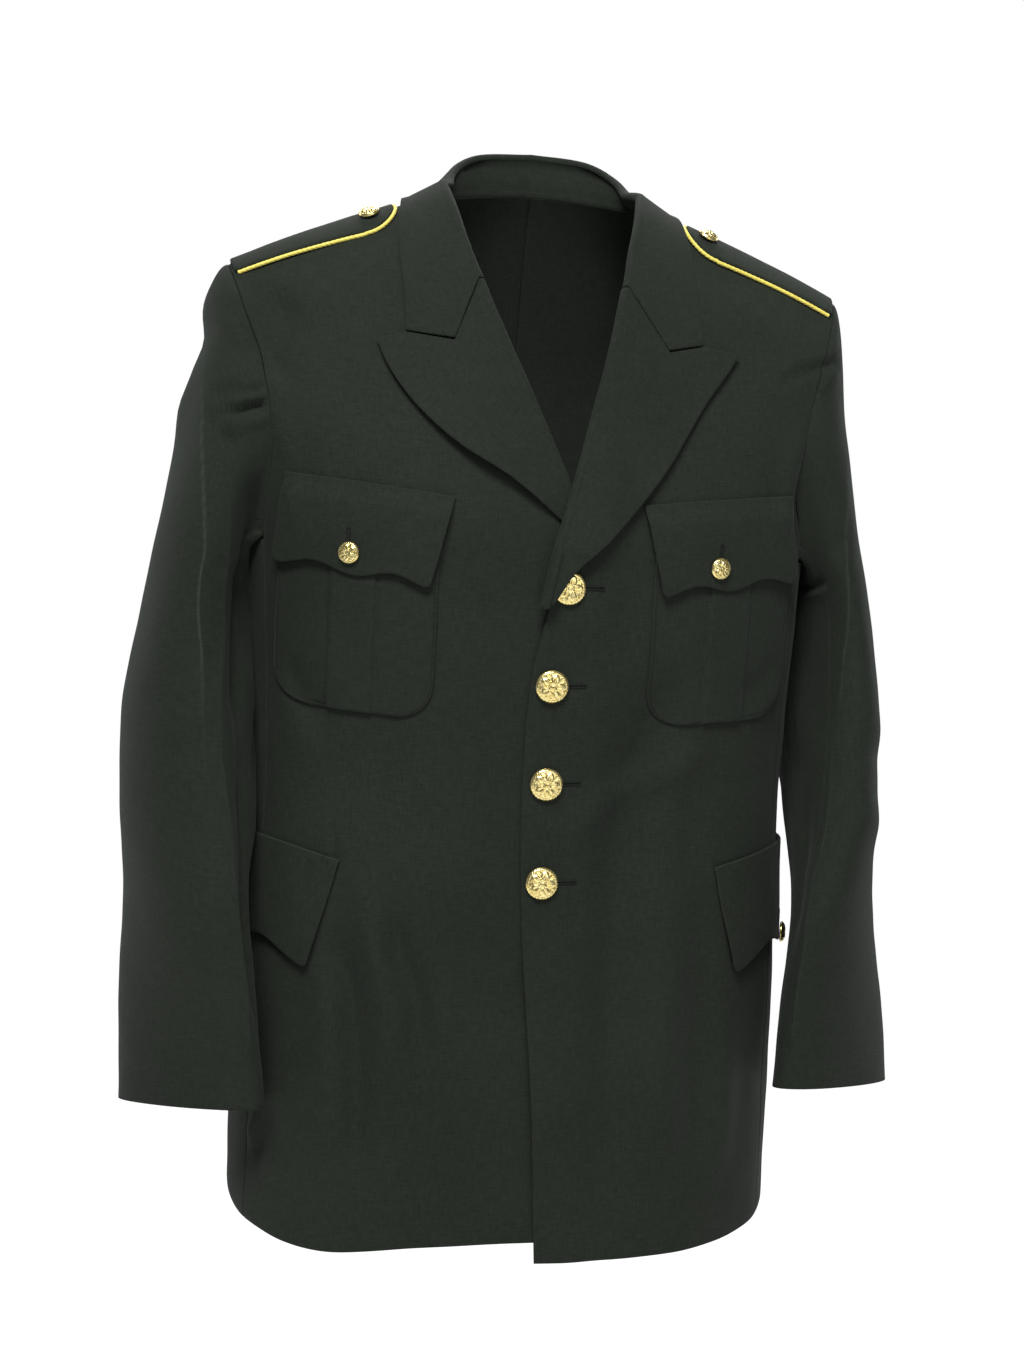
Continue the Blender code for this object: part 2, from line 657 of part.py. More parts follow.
def sleeve_points(side, turns):
    loop = armhole_loop(turns)
    below = np.linspace(SLEEVE[0]["z"], SLEEVE_END[side], STEPS["arm"] + 1)
    first = sleeve_section(turns, below[0], side)
    drop = (loop[:, 2] - first[:, 2])[:, None]
    under = (1 - np.cos(turns))[:, None] / 2
    sideways = np.stack([1 - 0.25 * under[:, 0], -0.22 * np.sin(turns), -0.12 * under[:, 0]], axis=1)
    out = blend(CAP_OUT[side], 8, under) * unit(sideways)
    start = loop + unit(sideways) * ARMHOLE_GAP + body_out(turns) * CLOTH / 2
    start[:, 2] += ARMPIT_UP * ease(np.radians(130), np.radians(150), np.abs(wrapped(turns)))
    lean = np.stack([CAP_LEAN[side] * (1 + np.cos(turns)) / 2, 0 * turns, 0 * turns], axis=1)
    up = points_of(0 * turns, 0 * turns, 1) * (0.55 * drop) + lean
    cap = []
    for t in np.linspace(0, 1, STEPS["cap"])[:-1]:
        cap.append(
            (1 - t) ** 3 * start
            + 3 * t * (1 - t) ** 2 * (start + out)
            + 3 * t**2 * (1 - t) * (first + up)
            + t**3 * first
        )
    arm = [sleeve_section(turns, z, side) for z in below]
    return np.stack(cap + arm)


def body_out(turns):
    """Straight out of the body along the armhole's edge."""
    loop = armhole_loop(turns)
    return unit(body_slope(loop, np.where(loop[:, 1] < 0, FRONT, BACK)))


def sleeve_turns(part):
    back_seam, front_seam = SLEEVE_SEAMS
    cut = np.radians(0.7)
    if part == "sleeve_top":
        return np.linspace(back_seam + cut, front_seam - cut, STEPS[part] + 1)
    return np.linspace(front_seam + cut, back_seam + 2 * np.pi - cut, STEPS[part] + 1)


def sleeve_walls(side, part):
    turns = sleeve_turns(part)
    step = turns[1] - turns[0]
    turns = np.concatenate([[turns[0] - step], turns, [turns[-1] + step]])
    grid = sleeve_points(side, turns)
    normals = normals_of(grid)
    leaving = unit(grid[1] - grid[0])
    out = body_out(turns)
    normals[0] = unit(out - leaving * np.sum(out * leaving, axis=-1, keepdims=True))
    return thick_wall(grid[:, 1:-1], normals[:, 1:-1], CLOTH)


# ---- shoulder straps ----
def strap_half(strap, x):
    """Half the strap's width at this distance from the middle, round at its neck end."""
    share = (x - strap["tip_x"]) / (strap["end_x"] - strap["tip_x"])
    straight = blend(strap["tip_half"], strap["end_half"], share)
    from_tip = np.clip((x - strap["tip_x"]) / strap["tip_half"], 0, 1)
    return straight * np.sqrt(np.clip(1 - (1 - from_tip) ** 2, 0.02, 1))


def strap_end(strap, y):
    """Where the strap meets the armhole seam, this far in front of or behind the shoulder seam."""
    spot, face = over_shoulder(strap["end_x"] + 0 * y, y)
    armhole = np.where(face < 0, front_armhole(spot[..., 2]), back_armhole(spot[..., 2]))
    return np.minimum(strap["end_x"], armhole - 2)


def strap_y(strap, x):
    """The strap's middle line runs near the shoulder seam."""
    share = (x - strap["tip_x"]) / (strap["end_x"] - strap["tip_x"])
    return blend(strap["tip_y"], strap["end_y"], share)


STRAP_LOW = CLOTH + 2 * LAY
STRAP_THICK = 2.6


def strap_walls(side):
    strap = STRAPS[side]
    bunch = np.linspace(0, 1, STEPS["strap"] + 1)[:, None] ** 1.5
    across = np.linspace(-1, 1, STEPS["strap_across"] + 1)
    end = strap_end(strap, strap["end_y"] + strap["end_half"] * across)
    x = blend(strap["tip_x"], end, bunch)
    y = strap_y(strap, x) + strap_half(strap, x) * across
    points, face = over_shoulder(x, y)
    return body_wall(points, face, STRAP_LOW, STRAP_LOW + STRAP_THICK)


def tube(name, side, path, radius, sides, finish):
    """A closed round tube along a path."""
    along = unit(np.gradient(path, axis=0))
    level = unit(np.cross(along, np.array([0, 0, 1.0])))
    over = np.cross(level, along)
    angles = np.linspace(0, 2 * np.pi, sides, endpoint=False)
    rings = [path + radius * (level * np.cos(a) + over * np.sin(a)) for a in angles]
    points = np.stack(rings, axis=1).reshape(-1, 3)
    faces = [tuple(range(sides)), tuple((len(path) - 1) * sides + k for k in range(sides))]
    for i in range(len(path) - 1):
        for k in range(sides):
            a, b = i * sides + k, i * sides + (k + 1) % sides
            faces.append((a, b, b + sides, a + sides))
    return add_object(name, mirrored(points, side), faces, finish)


def piping_path(side):
    """The cord round the strap's edge, from the sleeve seam round the tip and back."""
    strap = STRAPS[side]
    steps = STEPS["piping"] + 1
    radius = strap["tip_half"]
    away = PIPING_RADIUS + SEAM + 0.2
    middle = strap["tip_x"] + radius
    turn = np.linspace(np.pi / 2, 0, steps // 2 + 1)[:, None]
    tip_x = middle - (radius + away) * np.cos(turn)
    tip_y = -(radius + away) * np.sin(turn)
    edge_half = strap["end_half"] + away
    ends = strap_end(strap, strap["end_y"] + edge_half * np.array([-1.0, 1.0]))
    front_x, back_x = (np.linspace(end, middle, steps)[:-1, None] for end in ends)
    x = np.concatenate([front_x, tip_x, tip_x[-2::-1], back_x[::-1]])[:, 0]
    front_half, back_half = strap_half(strap, front_x), strap_half(strap, back_x[::-1])
    run_y = [-front_half - away, tip_y, -tip_y[-2::-1], back_half + away]
    y = np.concatenate(run_y)[:, 0]
    points, face = over_shoulder(x, y + strap_y(strap, x))
    return lifted(points, face, STRAP_LOW + PIPING_RADIUS)


# ---- pockets and flaps ----
POCKET = dict(inner=77, outer=187, top=-246, bottom_inner=-384, bottom_outer=-377, corner=26)
PLEAT = dict(middle=135, half=15, raise_by=1.6, step=0.8)
PATCH_THICK = 1.6
PATCH_LOW = CLOTH + LAY

# A flap's upper and lower edges from its inner end (0) to its outer end (1).
BREAST_FLAP = dict(top_in=(67, -226), top_out=(183, -213), bottom_in=(81, -291), bottom_out=(187, -277))
BREAST_SCALLOP = 6
FLAP_THICK = 2.0


def scallop(u):
    """The flap's lower edge: two shallow arcs between three points, as a share of their depth."""
    arc = np.abs(u * 2 - 1)
    return 1 - (2 * arc - 1) ** 2


def pocket_walls():
    edges = [PLEAT["middle"] - PLEAT["half"], PLEAT["middle"] + PLEAT["half"]]
    step = PLEAT["step"]
    x = np.concatenate([
        np.linspace(POCKET["inner"], edges[0] - step, STEPS["pocket_half"] + 1),
        np.linspace(edges[0], edges[1], STEPS["pocket_half"] // 2 + 1),
        np.linspace(edges[1] + step, POCKET["outer"], STEPS["pocket_half"] + 1),
    ])
    share = (x - POCKET["inner"]) / (POCKET["outer"] - POCKET["inner"])
    near = np.minimum(x - POCKET["inner"], POCKET["outer"] - x)
    short = POCKET["corner"] - np.minimum(near, POCKET["corner"])
    corner = POCKET["corner"] - np.sqrt(np.maximum(POCKET["corner"] ** 2 - short**2, 0))
    bottom = blend(POCKET["bottom_inner"], POCKET["bottom_outer"], share) + corner
    z = blend(bottom, POCKET["top"], np.linspace(0, 1, STEPS["pocket"] + 1)[:, None])
    points = on_body(x + 0 * z, z, FRONT)
    raised = np.where((x >= edges[0]) & (x <= edges[1]), PLEAT["raise_by"], 0) + 0 * z
    return body_wall(points, FRONT, PATCH_LOW, PATCH_LOW + PATCH_THICK + raised)


def flap_lift(drop, low, high, ramp):
    return blend(low, high, ease(0, ramp, drop))


def breast_flap_walls():
    u = np.linspace(0, 1, STEPS["flap"] + 1)
    corners = {k: np.array(v, float)[:, None] for k, v in BREAST_FLAP.items()}
    top = blend(corners["top_in"], corners["top_out"], u)
    bottom = blend(corners["bottom_in"], corners["bottom_out"], u)
    bottom[1] += BREAST_SCALLOP * scallop(u)
    v = np.linspace(0, 1, STEPS["flap_drop"] + 1)[:, None, None]
    x, z = blend(bottom[0], top[0], v[:, 0]), blend(bottom[1], top[1], v[:, 0])
    points = on_body(x, z, FRONT)
    drop = top[1] - z
    over_patch = PATCH_LOW + PATCH_THICK + PLEAT["raise_by"] + LAY
    low = flap_lift(drop, CLOTH + LAY, over_patch, 17)
    return body_wall(points, FRONT, low, low + FLAP_THICK)


LOWER_FLAP = dict(front_top_x=137, front_bottom_x=155, width_top=178, width_bottom=170)
LOWER_FLAP_TOP = [dict(along=0, z=-489), dict(along=45, z=-481), dict(along=178, z=-479)]
LOWER_FLAP_DEPTH = 81
LOWER_SCALLOP = 10


def along_body(z, start_turn, distance):
    """The turn reached after a distance round the body from a start."""
    turns = start_turn + np.linspace(0, np.radians(110), 200)
    ring, _ = round_body(turns, z + 0 * turns)
    lengths = np.concatenate([[0], np.cumsum(np.linalg.norm(np.diff(ring, axis=0), axis=1))])
    return np.interp(distance, lengths, turns)


def lower_flap_grid():
    columns, rows = STEPS["flap"] + 1, STEPS["flap_drop"] + 1
    top_of = smooth_through(LOWER_FLAP_TOP, "along", "z")
    turns, heights = np.zeros((rows, columns)), np.zeros((rows, columns))
    for j, u in enumerate(np.linspace(0, 1, columns)):
        top = top_of(u * LOWER_FLAP["width_top"])
        depth = LOWER_FLAP_DEPTH - LOWER_SCALLOP * scallop(u)
        for i, v in enumerate(np.linspace(1, 0, rows)):
            z = top - depth * v
            x = blend(LOWER_FLAP["front_top_x"], LOWER_FLAP["front_bottom_x"], v)
            width = blend(LOWER_FLAP["width_top"], LOWER_FLAP["width_bottom"], v)
            turns[i, j] = along_body(z, turn_at(x, z), u * width)
            heights[i, j] = z
    return turns, heights, top_of(np.linspace(0, 1, columns) * LOWER_FLAP["width_top"])


LOWER_FLAP_LOW = CLOTH + 2 * LAY
LOWER_FLAP_STAND = 1.2  # how far the flap's lower edge stands off the body


def lower_flap_walls():
    turns, z, top = lower_flap_grid()
    points, face = round_body(turns, z)
    low = flap_lift(top - z, LOWER_FLAP_LOW, LOWER_FLAP_LOW + LOWER_FLAP_STAND, LOWER_FLAP_DEPTH)
    return body_wall(points, face, low, low + FLAP_THICK)


# ---- buttons ----
def button_mesh(radius, height, petals, around):
    """A domed button with a rim and a plain rosette raised on it."""
    profile = [
        dict(r=0.55, z=0.0, petal=0),
        dict(r=0.92, z=0.12, petal=0),
        dict(r=1.0, z=0.25, petal=0),
        dict(r=0.98, z=0.42, petal=0),
        dict(r=0.86, z=0.5, petal=0),
        dict(r=0.78, z=0.62, petal=0.04),
        dict(r=0.5, z=0.86, petal=0.10),
        dict(r=0.22, z=0.88, petal=0.02),
    ]
    angles = np.linspace(0, 2 * np.pi, around, endpoint=False)
    points, faces = [(0, 0, 0)], []
    for ring in profile:
        for a in angles:
            z = ring["z"] + ring["petal"] * np.cos(petals * a)
            points.append((radius * ring["r"] * np.cos(a), radius * ring["r"] * np.sin(a), height * z))
    points.append((0, 0, height))
    first = [(0, 1 + (k + 1) % around, 1 + k) for k in range(around)]
    faces += first
    for i in range(len(profile) - 1):
        for k in range(around):
            a, b = 1 + i * around + k, 1 + i * around + (k + 1) % around
            faces.append((a, b, b + around, a + around))
    last = 1 + (len(profile) - 1) * around
    top = len(points) - 1
    faces += [(last + k, last + (k + 1) % around, top) for k in range(around)]
    return np.array(points), faces


def place_button(name, side, size, x, z, face, lift):
    """Sets a button on the body's surface, its back at the given lift."""
    points, faces = button_mesh(size["radius"], size["height"], size["petals"], size["around"])
    spot = on_body(np.array([x]), np.array([float(z)]), face)
    out = unit(body_slope(spot, face))[0]
    across = unit(np.cross(np.array([0, 0, 1.0]), out))
    up = np.cross(out, across)
    placed = spot[0] + out * lift + points @ np.stack([across, up, out])
    gilt = material("gilt_button", GILT_COLOUR, 0.25, 1.0)
    return add_object(name, mirrored(placed, side), faces, gilt)


def make_buttons():
    for number, place in enumerate(FRONT_BUTTONS, 1):
        raised = overlap_lift(place["x"], place["z"] + FRONT_BUTTON["radius"])
        lift = raised + CLOTH + LAY
        place_button(f"front_button_{number}", LEFT, FRONT_BUTTON, place["x"], place["z"], FRONT, lift)
    on_flap = PATCH_LOW + PATCH_THICK + PLEAT["raise_by"] + LAY + FLAP_THICK + LAY
    on_lower = LOWER_FLAP_LOW + LOWER_FLAP_STAND + FLAP_THICK + LAY
    for tag, side in SIDES.items():
        breast, lower = BREAST_BUTTON[side], LOWER_BUTTON
        place_button(f"breast_button_{tag}", side, SMALL_BUTTON, breast["x"], breast["z"], FRONT, on_flap)
        place_button(f"lower_button_{tag}", side, SMALL_BUTTON, lower["x"], lower["z"], FRONT, on_lower)
        strap_button(f"epaulette_button_{tag}", side)


def strap_button(name, side):
    size, strap = SMALL_BUTTON, STRAPS[side]
    points, faces = button_mesh(size["radius"], size["height"], size["petals"], size["around"])
    x = np.array([strap["tip_x"] + strap["button_in"]])
    spot, face = over_shoulder(x, strap_y(strap, x) - strap["forward"])
    out = unit(body_slope(spot, face))[0]
    across = unit(np.cross(np.array([0, 1.0, 0]), out))
    up = np.cross(out, across)
    lift = STRAP_LOW + STRAP_THICK + LAY + 0.4
    placed = spot[0] + out * lift + points @ np.stack([across, up, out])
    gilt = material("gilt_button", GILT_COLOUR, 0.25, 1.0)
    return add_object(name, mirrored(placed, side), faces, gilt)


def cloth_pieces():
    """Every piece of cloth: its name, its side, and the inner and outer faces of its wall."""
    pieces = [("collar", LEFT, collar_walls())]
    for tag, side in SIDES.items():
        walls = {
            "front": front_walls(side),
            "side": side_walls(side),
            "back": back_walls(side),
            "sleeve_top": sleeve_walls(side, "sleeve_top"),
            "sleeve_under": sleeve_walls(side, "sleeve_under"),
            "lapel": lapel_walls(side),
            "epaulette": strap_walls(side),
            "breast_pocket": pocket_walls(),
            "breast_flap": breast_flap_walls(),
            "lower_flap": lower_flap_walls(),
        }
        pieces += [(f"{name}_{tag}", side, faces) for name, faces in walls.items()]
    return pieces


def main():
    for old in list(bpy.data.objects):
        bpy.data.objects.remove(old, do_unlink=True)
    for name, side, (inner, outer) in cloth_pieces():
        wall(name, mirrored(inner, side), mirrored(outer, side), cloth())
    for tag, side in SIDES.items():
        cord = material("gold_piping", PIPING_COLOUR, 0.55)
        tube(f"piping_{tag}", side, piping_path(side), PIPING_RADIUS, 6, cord)
    make_buttons()


main()
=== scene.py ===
"""Looks of the dress uniform jacket, in its worn shape with no wearer.

Metres in the frame; the sizes below are in millimetres and are scaled once, when a mesh is made.
The wearer faces -Y and the wearer's left is +X. The tables and surfaces are those of the part.
"""

import bmesh
import bpy
import numpy as np
from mathutils import Matrix, Vector


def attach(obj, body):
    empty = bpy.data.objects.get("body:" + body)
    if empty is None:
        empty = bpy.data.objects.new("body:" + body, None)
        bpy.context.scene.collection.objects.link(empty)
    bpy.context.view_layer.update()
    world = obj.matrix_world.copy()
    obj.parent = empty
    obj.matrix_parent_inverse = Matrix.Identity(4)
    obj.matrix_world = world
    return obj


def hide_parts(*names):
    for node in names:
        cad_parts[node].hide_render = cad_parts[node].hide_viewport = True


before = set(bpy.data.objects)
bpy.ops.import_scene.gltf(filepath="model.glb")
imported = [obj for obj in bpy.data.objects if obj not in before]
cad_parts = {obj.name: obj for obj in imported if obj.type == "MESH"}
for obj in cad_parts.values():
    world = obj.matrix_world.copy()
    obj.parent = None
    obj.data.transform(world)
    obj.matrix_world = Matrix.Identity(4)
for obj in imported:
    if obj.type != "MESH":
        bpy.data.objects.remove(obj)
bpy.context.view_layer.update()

MM = 0.001
LEFT, RIGHT = 1, -1
SIDES = {"L": LEFT, "R": RIGHT}
FRONT, BACK = -1, 1


def table(columns, *rows):
    """Rows of values under named columns; a row may leave out its last ones."""
    return [dict(zip(columns.split(), row)) for row in rows]


# ---- driving sizes ----
CLOTH = 2.2  # a panel's wall: two layers of cloth and its canvas
SEAM = -0.16  # pieces that are sewn edge to edge run a little into each other
LAY = 0.6  # gap under a piece that lies on a panel
ARMPIT_Z = -262
NECK_X = 80  # neck end of the shoulder seam
SHOULDER_X = 232  # sleeve end of the shoulder seam
FRONT_SEAM = np.radians(66)  # front and side panels meet here, as a turn from the centre front
BACK_SEAM = np.radians(118)
ROUND = 2.5  # exponent of the body's level sections: 2 is an ellipse
RISE_POWER = {FRONT: 1.6, BACK: 3.0}
DEPTH_POWER = {FRONT: 1.6, BACK: 2.0}

# The body's level sections: half width, and how far the front and the back reach from y = 0.
BODY = table(
    "z half_width front back",
    (60, 350, 112, 100),
    (-61, 335, 118, 104),
    (-150, 258, 124, 112),
    (-205, 226, 127, 115),
    (-262, 214, 128, 116),
    (-310, 211, 128, 110),
    (-430, 206, 122, 94),
    (-560, 209, 124, 102),
    (-800, 211, 130, 112),
)

# The shoulder line seen from the front. Inside the neck it only shapes the body's surface.
SHOULDER = table(
    "x z",
    (0, 50),
    (40, 33),
    (60, 16),
    (80, 0),
    (110, -12),
    (150, -27),
    (190, -43),
    (232, -62),
    (270, -80),
)

# The front and back edges of the armhole.
ARMHOLE = table(
    "z front back",
    (-262, 199, 193.5),
    (-235, 197, 195.5),
    (-200, 195, 198),
    (-160, 199, 205),
    (-110, 214, 218),
    (-62, 232, 232),
)

# Each front's inner edge, from its own side: the roll line of the lapel, then the front edge.
FRONT_EDGE = table(
    "z left right",
    (0, 80, 80),
    (-35, 66, 63),
    (-71, 55, 51),
    (-112, 45, 35),
    (-165, 31, 12),
    (-228, 14, -17),
    (-264, 6, -24),
    (-300, -1, -25),
    (-340, -9, -26),
    (-430, -13, -27),
    (-530, -9, -27),
    (-660, 3, -29),
    (-780, 11, -32),
)

# The hem's height round the body, as a turn in degrees from the centre front.
HEM = table(
    "turn left right",
    (-10, -780, -764),
    (15, -780, -770),
    (35, -778, -779),
    (66, -770, -771),
    (90, -757, -760),
    (118, -764, -766),
    (180, -776, -776),
)

# The lapel's outer edge, from its peak down to where it rolls into the front edge.
LAPEL_EDGE = table(
    "at left_x left_z right_x right_z",
    (0.0, 140, -115, 124, -119),
    (0.07, 134, -124, 119, -131),
    (0.25, 113, -152, 101, -158),
    (0.5, 80, -205, 66, -190),
    (0.75, 41, -252, 26, -214),
    (0.9, 17, -275, 3, -231),
    (1.0, 4, -296, -12, -243),
)
ROLL_END_Z = {LEFT: -301, RIGHT: -247}
GORGE_Z = -71  # where the collar, the lapel and the roll line meet
NOTCH_INNER = {LEFT: (86, -117), RIGHT: (69, -117)}
NOTCH_OUTER = {LEFT: (112, -111), RIGHT: (104, -113)}
NOTCH_SLIT = 1.2
GORGE_LAP = 0.5  # the collar's end laps this far over the lapel's along the gorge

# The collar from its front end (at = 0) to the centre back (at = 1). The base is a point of the
# neck seam; fold is the middle of the bend; the edge is a point over the body.
COLLAR = table(
    "at base_x fold_x fold_y fold_z edge_x edge_y edge_z",
    (0.00, 55, 55, -76, -69, 112, -82, -108),
    (0.20, 64, 60, -58, -44, 109, -55, -62),
    (0.45, 80, 68, -10, -2, 106, -6, -6),
    (0.62, 72, 67, 28, 22, 98, 44, -5),
    (0.80, 48, 46, 53, 40, 66, 70, -5),
    (1.00, 0, 0, 63, 46, 0, 76, -4),
)
NAPE_Z = 14

# The sleeve below its cap: half its width from front to back, and how fast its front rises above
# its back. On each side: how far out and forward its middle is, half its width across, and how far
# its section is turned towards the body, in degrees.
SLEEVE = table(
    "z long tilt",
    (-300, 84, 0),
    (-390, 80, 0.05),
    (-465, 76, 0.1),
    (-540, 73, 0.15),
    (-620, 70, 0.18),
    (-672, 68, 0.22),
)
SLEEVE_SIDE = {
    LEFT: table(
        "z x y short turn",
        (-300, 243, -3, 26, 0),
        (-390, 246, -17, 32, 0),
        (-465, 247, -36, 32, 7),
        (-540, 249, -53, 29, 28),
        (-620, 251, -61, 27, 44),
        (-672, 252, -64, 26, 51),
    ),
    RIGHT: table(
        "z x y short turn",
        (-300, 251, -8, 36, 3),
        (-390, 254, -28, 44, 13),
        (-465, 252, -40, 43, 20),
        (-540, 250, -55, 32, 30),
        (-620, 245, -62, 27, 43),
        (-672, 241, -64, 26, 48),
    ),
}
SLEEVE_END = {LEFT: -666, RIGHT: -683}
SLEEVE_SEAMS = np.radians([-95, 125])  # back and front seam, as a turn from the outermost line
CAP_OUT = {LEFT: 12, RIGHT: 20}  # how far the sleeve head stands out of the armhole

# The shoulder straps, from the tip by the neck to the end in the armhole seam. The button stands
# this far in from the tip, and forward of the strap's middle line.
STRAP = dict(tip_x=111, end_x=230, tip_half=20, end_half=24)
STRAPS = {
    LEFT: dict(**STRAP, tip_y=-12, end_y=-3, button_in=15, forward=3),
    RIGHT: dict(**STRAP, tip_y=-9, end_y=3, button_in=17, forward=5),
}
PIPING_RADIUS = 1.5

BREAST_BUTTON = {LEFT: dict(x=123, z=-268), RIGHT: dict(x=137, z=-268)}
LOWER_BUTTON = dict(x=203, z=-551)
FRONT_BUTTONS = table("x z", (14, -286), (6, -356), (6, -427), (6, -499))
FRONT_BUTTON = dict(radius=12, height=5.2)
SMALL_BUTTON = dict(radius=8, height=4.6)

# How many steps each piece is divided into.
STEPS = dict(
    upper=56, lower=84, front=76, side=36, back=64, lapel=90, gorge=22, notch=10, peak=8,
    collar=52, leaf=32, leaf_notch=10, stand=4, bend=10, sleeve_top=180, sleeve_under=100,
    cap=36, arm=90, strap=64, strap_across=26, piping=60, pocket=56, pocket_half=26,
    flap=90, flap_drop=30,
)


# ---- curves and surfaces ----
def steps_of(name):
    """Even steps from 0 to 1, as many as a piece is divided into."""
    return np.linspace(0, 1, STEPS[name] + 1)


def smooth_through(rows, along, value):
    """A smooth function through one column of a table, against another."""
    at, values = (np.array(c, float) for c in zip(*sorted((row[along], row[value]) for row in rows)))
    slopes = np.gradient(values, at)

    def height(x):
        x = np.clip(x, at[0], at[-1])
        i = np.clip(np.searchsorted(at, x) - 1, 0, len(at) - 2)
        step = at[i + 1] - at[i]
        t = (x - at[i]) / step
        return (
            (1 + 2 * t) * (1 - t) ** 2 * values[i]
            + t * (1 - t) ** 2 * step * slopes[i]
            + t * t * (3 - 2 * t) * values[i + 1]
            + t * t * (t - 1) * step * slopes[i + 1]
        )

    return height


def name_of(side):
    return "left" if side == LEFT else "right"


half_width = smooth_through(BODY, "z", "half_width")
front_reach = smooth_through(BODY, "z", "front")
back_reach = smooth_through(BODY, "z", "back")
shoulder_z = smooth_through(SHOULDER, "x", "z")
front_armhole = smooth_through(ARMHOLE, "z", "front")
back_armhole = smooth_through(ARMHOLE, "z", "back")
front_edge = {side: smooth_through(FRONT_EDGE, "z", name_of(side)) for side in SIDES.values()}
hem_z = {side: smooth_through(HEM, "turn", name_of(side)) for side in SIDES.values()}


def blend(a, b, t):
    return a + (b - a) * t


def ease(low, high, x):
    """0 below low, 1 above high, smooth between."""
    t = np.clip((x - low) / (high - low), 0, 1)
    return t * t * (3 - 2 * t)


def points_of(x, y, z):
    return np.stack(np.broadcast_arrays(x, y, z), axis=-1).astype(float)


def unit(vectors):
    return vectors / np.maximum(np.linalg.norm(vectors, axis=-1, keepdims=True), 1e-9)


def run_of(path):
    """How far along a path each of its points is."""
    return np.concatenate([[0], np.cumsum(np.linalg.norm(np.diff(path, axis=0), axis=1))])


def along_path(at, run, values):
    """The values at these distances along a path."""
    return np.stack([np.interp(at, run, column) for column in values.T], axis=1)


def by_face(face, values):
    return np.where(face < 0, values[FRONT], values[BACK])


def reach(z, face):
    return np.where(face < 0, front_reach(z), back_reach(z))


def body_depth(x, z, face):
    """How far the body stands in front of (or behind) y = 0 at this place."""
    across = np.clip(1 - (np.abs(x) / half_width(z)) ** ROUND, 0, 1) ** (1 / ROUND)
    rise = np.clip((z - ARMPIT_Z) / (shoulder_z(np.abs(x)) - ARMPIT_Z), 0, 1)
    over = np.clip(1 - rise ** by_face(face, RISE_POWER), 0, 1) ** (1 / by_face(face, DEPTH_POWER))
    return reach(z, face) * across * over


def on_body(x, z, face):
    return points_of(x, face * body_depth(x, z, face), z)


def turn_at(x, z):
    """The turn from the centre front (or back) at which the body has this x."""
    return np.sign(x) * np.arcsin(np.clip(np.abs(x) / half_width(z), 0, 1) ** (ROUND / 2))


def x_at(turn, z):
    return half_width(z) * np.sign(turn) * np.abs(np.sin(turn)) ** (2 / ROUND)


def round_body(turn, z):
    """A point of the body below the armpits, by its turn from the centre front."""
    face = np.where(np.cos(turn) >= 0, FRONT, BACK)
    depth = reach(z, face) * np.abs(np.cos(turn)) ** (2 / ROUND)
    return points_of(x_at(turn, z), face * depth, z), face


def body_level(points, face, below):
    """0 on the body's surface and growing outwards."""
    x, y, z = np.abs(points[..., 0]), np.abs(points[..., 1]), points[..., 2]
    wide = x / half_width(z)
    lower = wide**ROUND + (y / reach(z, face)) ** ROUND - 1
    across = np.clip(1 - wide**ROUND, 0.01, 1) ** (1 / ROUND)
    rise = np.clip((z - ARMPIT_Z) / (shoulder_z(x) - ARMPIT_Z), 0, None)
    thick = (y / (reach(z, face) * across)) ** by_face(face, DEPTH_POWER)
    upper = thick + rise ** by_face(face, RISE_POWER) - 1
    return np.where(below, lower, upper)


def body_slope(points, face):
    """The gradient of body_level."""
    below = points[..., 2] <= ARMPIT_Z
    step = 0.25
    slopes = [
        body_level(points + move, face, below) - body_level(points - move, face, below)
        for move in step * np.eye(3)
    ]
    return np.stack(slopes, axis=-1) / (2 * step)


def lifted(points, face, lift):
    """The points moved straight out of the body."""
    lift = np.broadcast_to(lift, points.shape[:-1])[..., None]
    return points + unit(body_slope(points, face)) * lift


def lift_of(points, face):
    """Roughly how far each point stands out of the body."""
    below = points[..., 2] <= ARMPIT_Z
    size = np.linalg.norm(body_slope(points, face), axis=-1)
    return body_level(points, face, below) / np.maximum(size, 1e-6)


def over_shoulder(x, y):
    """A point on top of the shoulder, by its distance in front of (-) or behind the seam."""
    face = np.where(y < 0, FRONT, BACK)
    z = shoulder_z(x) + 0.0 * y
    for _ in range(3):
        across = (1 - (x / half_width(z)) ** ROUND) ** (1 / ROUND)
        share = (np.abs(y) / (reach(z, face) * across)) ** by_face(face, DEPTH_POWER)
        rise = np.clip(1 - share, 0, 1) ** (1 / by_face(face, RISE_POWER))
        z = ARMPIT_Z + (shoulder_z(x) - ARMPIT_Z) * rise
    return points_of(x, y, z), face


def normals_of(grid):
    """The normal of a grid of points, from its neighbours along rows and columns."""
    return unit(np.cross(np.gradient(grid, axis=1), np.gradient(grid, axis=0)))


OVERLAP = dict(lift=3.0, tip_lift=3.3, tip_z=(-340, -302), out_x=(32, 66), top_z=(-200, -165))


def overlap_lift(x, z):
    """How far the left front is raised to pass over the right front and its lapel's lower end."""
    lift = OVERLAP["lift"] + OVERLAP["tip_lift"] * ease(*OVERLAP["tip_z"], z)
    return lift * (1 - ease(*OVERLAP["out_x"], x)) * (1 - ease(*OVERLAP["top_z"], z))


def mirrored(grid, side):
    return grid * np.array([side, 1, 1])


def body_wall(points, face, low, high):
    """The two faces of a sheet that follows the body between two lifts."""
    return lifted(points, face, low), lifted(points, face, high)


def thick_wall(grid, normals, thickness):
    """The two faces of a sheet whose middle is the grid."""
    out = normals * thickness / 2
    return grid - out, grid + out


# ---- fronts, sides and backs ----
EDGE_IN = 1.8  # the front stops this far inside the roll line, where the lapel is sewn to it


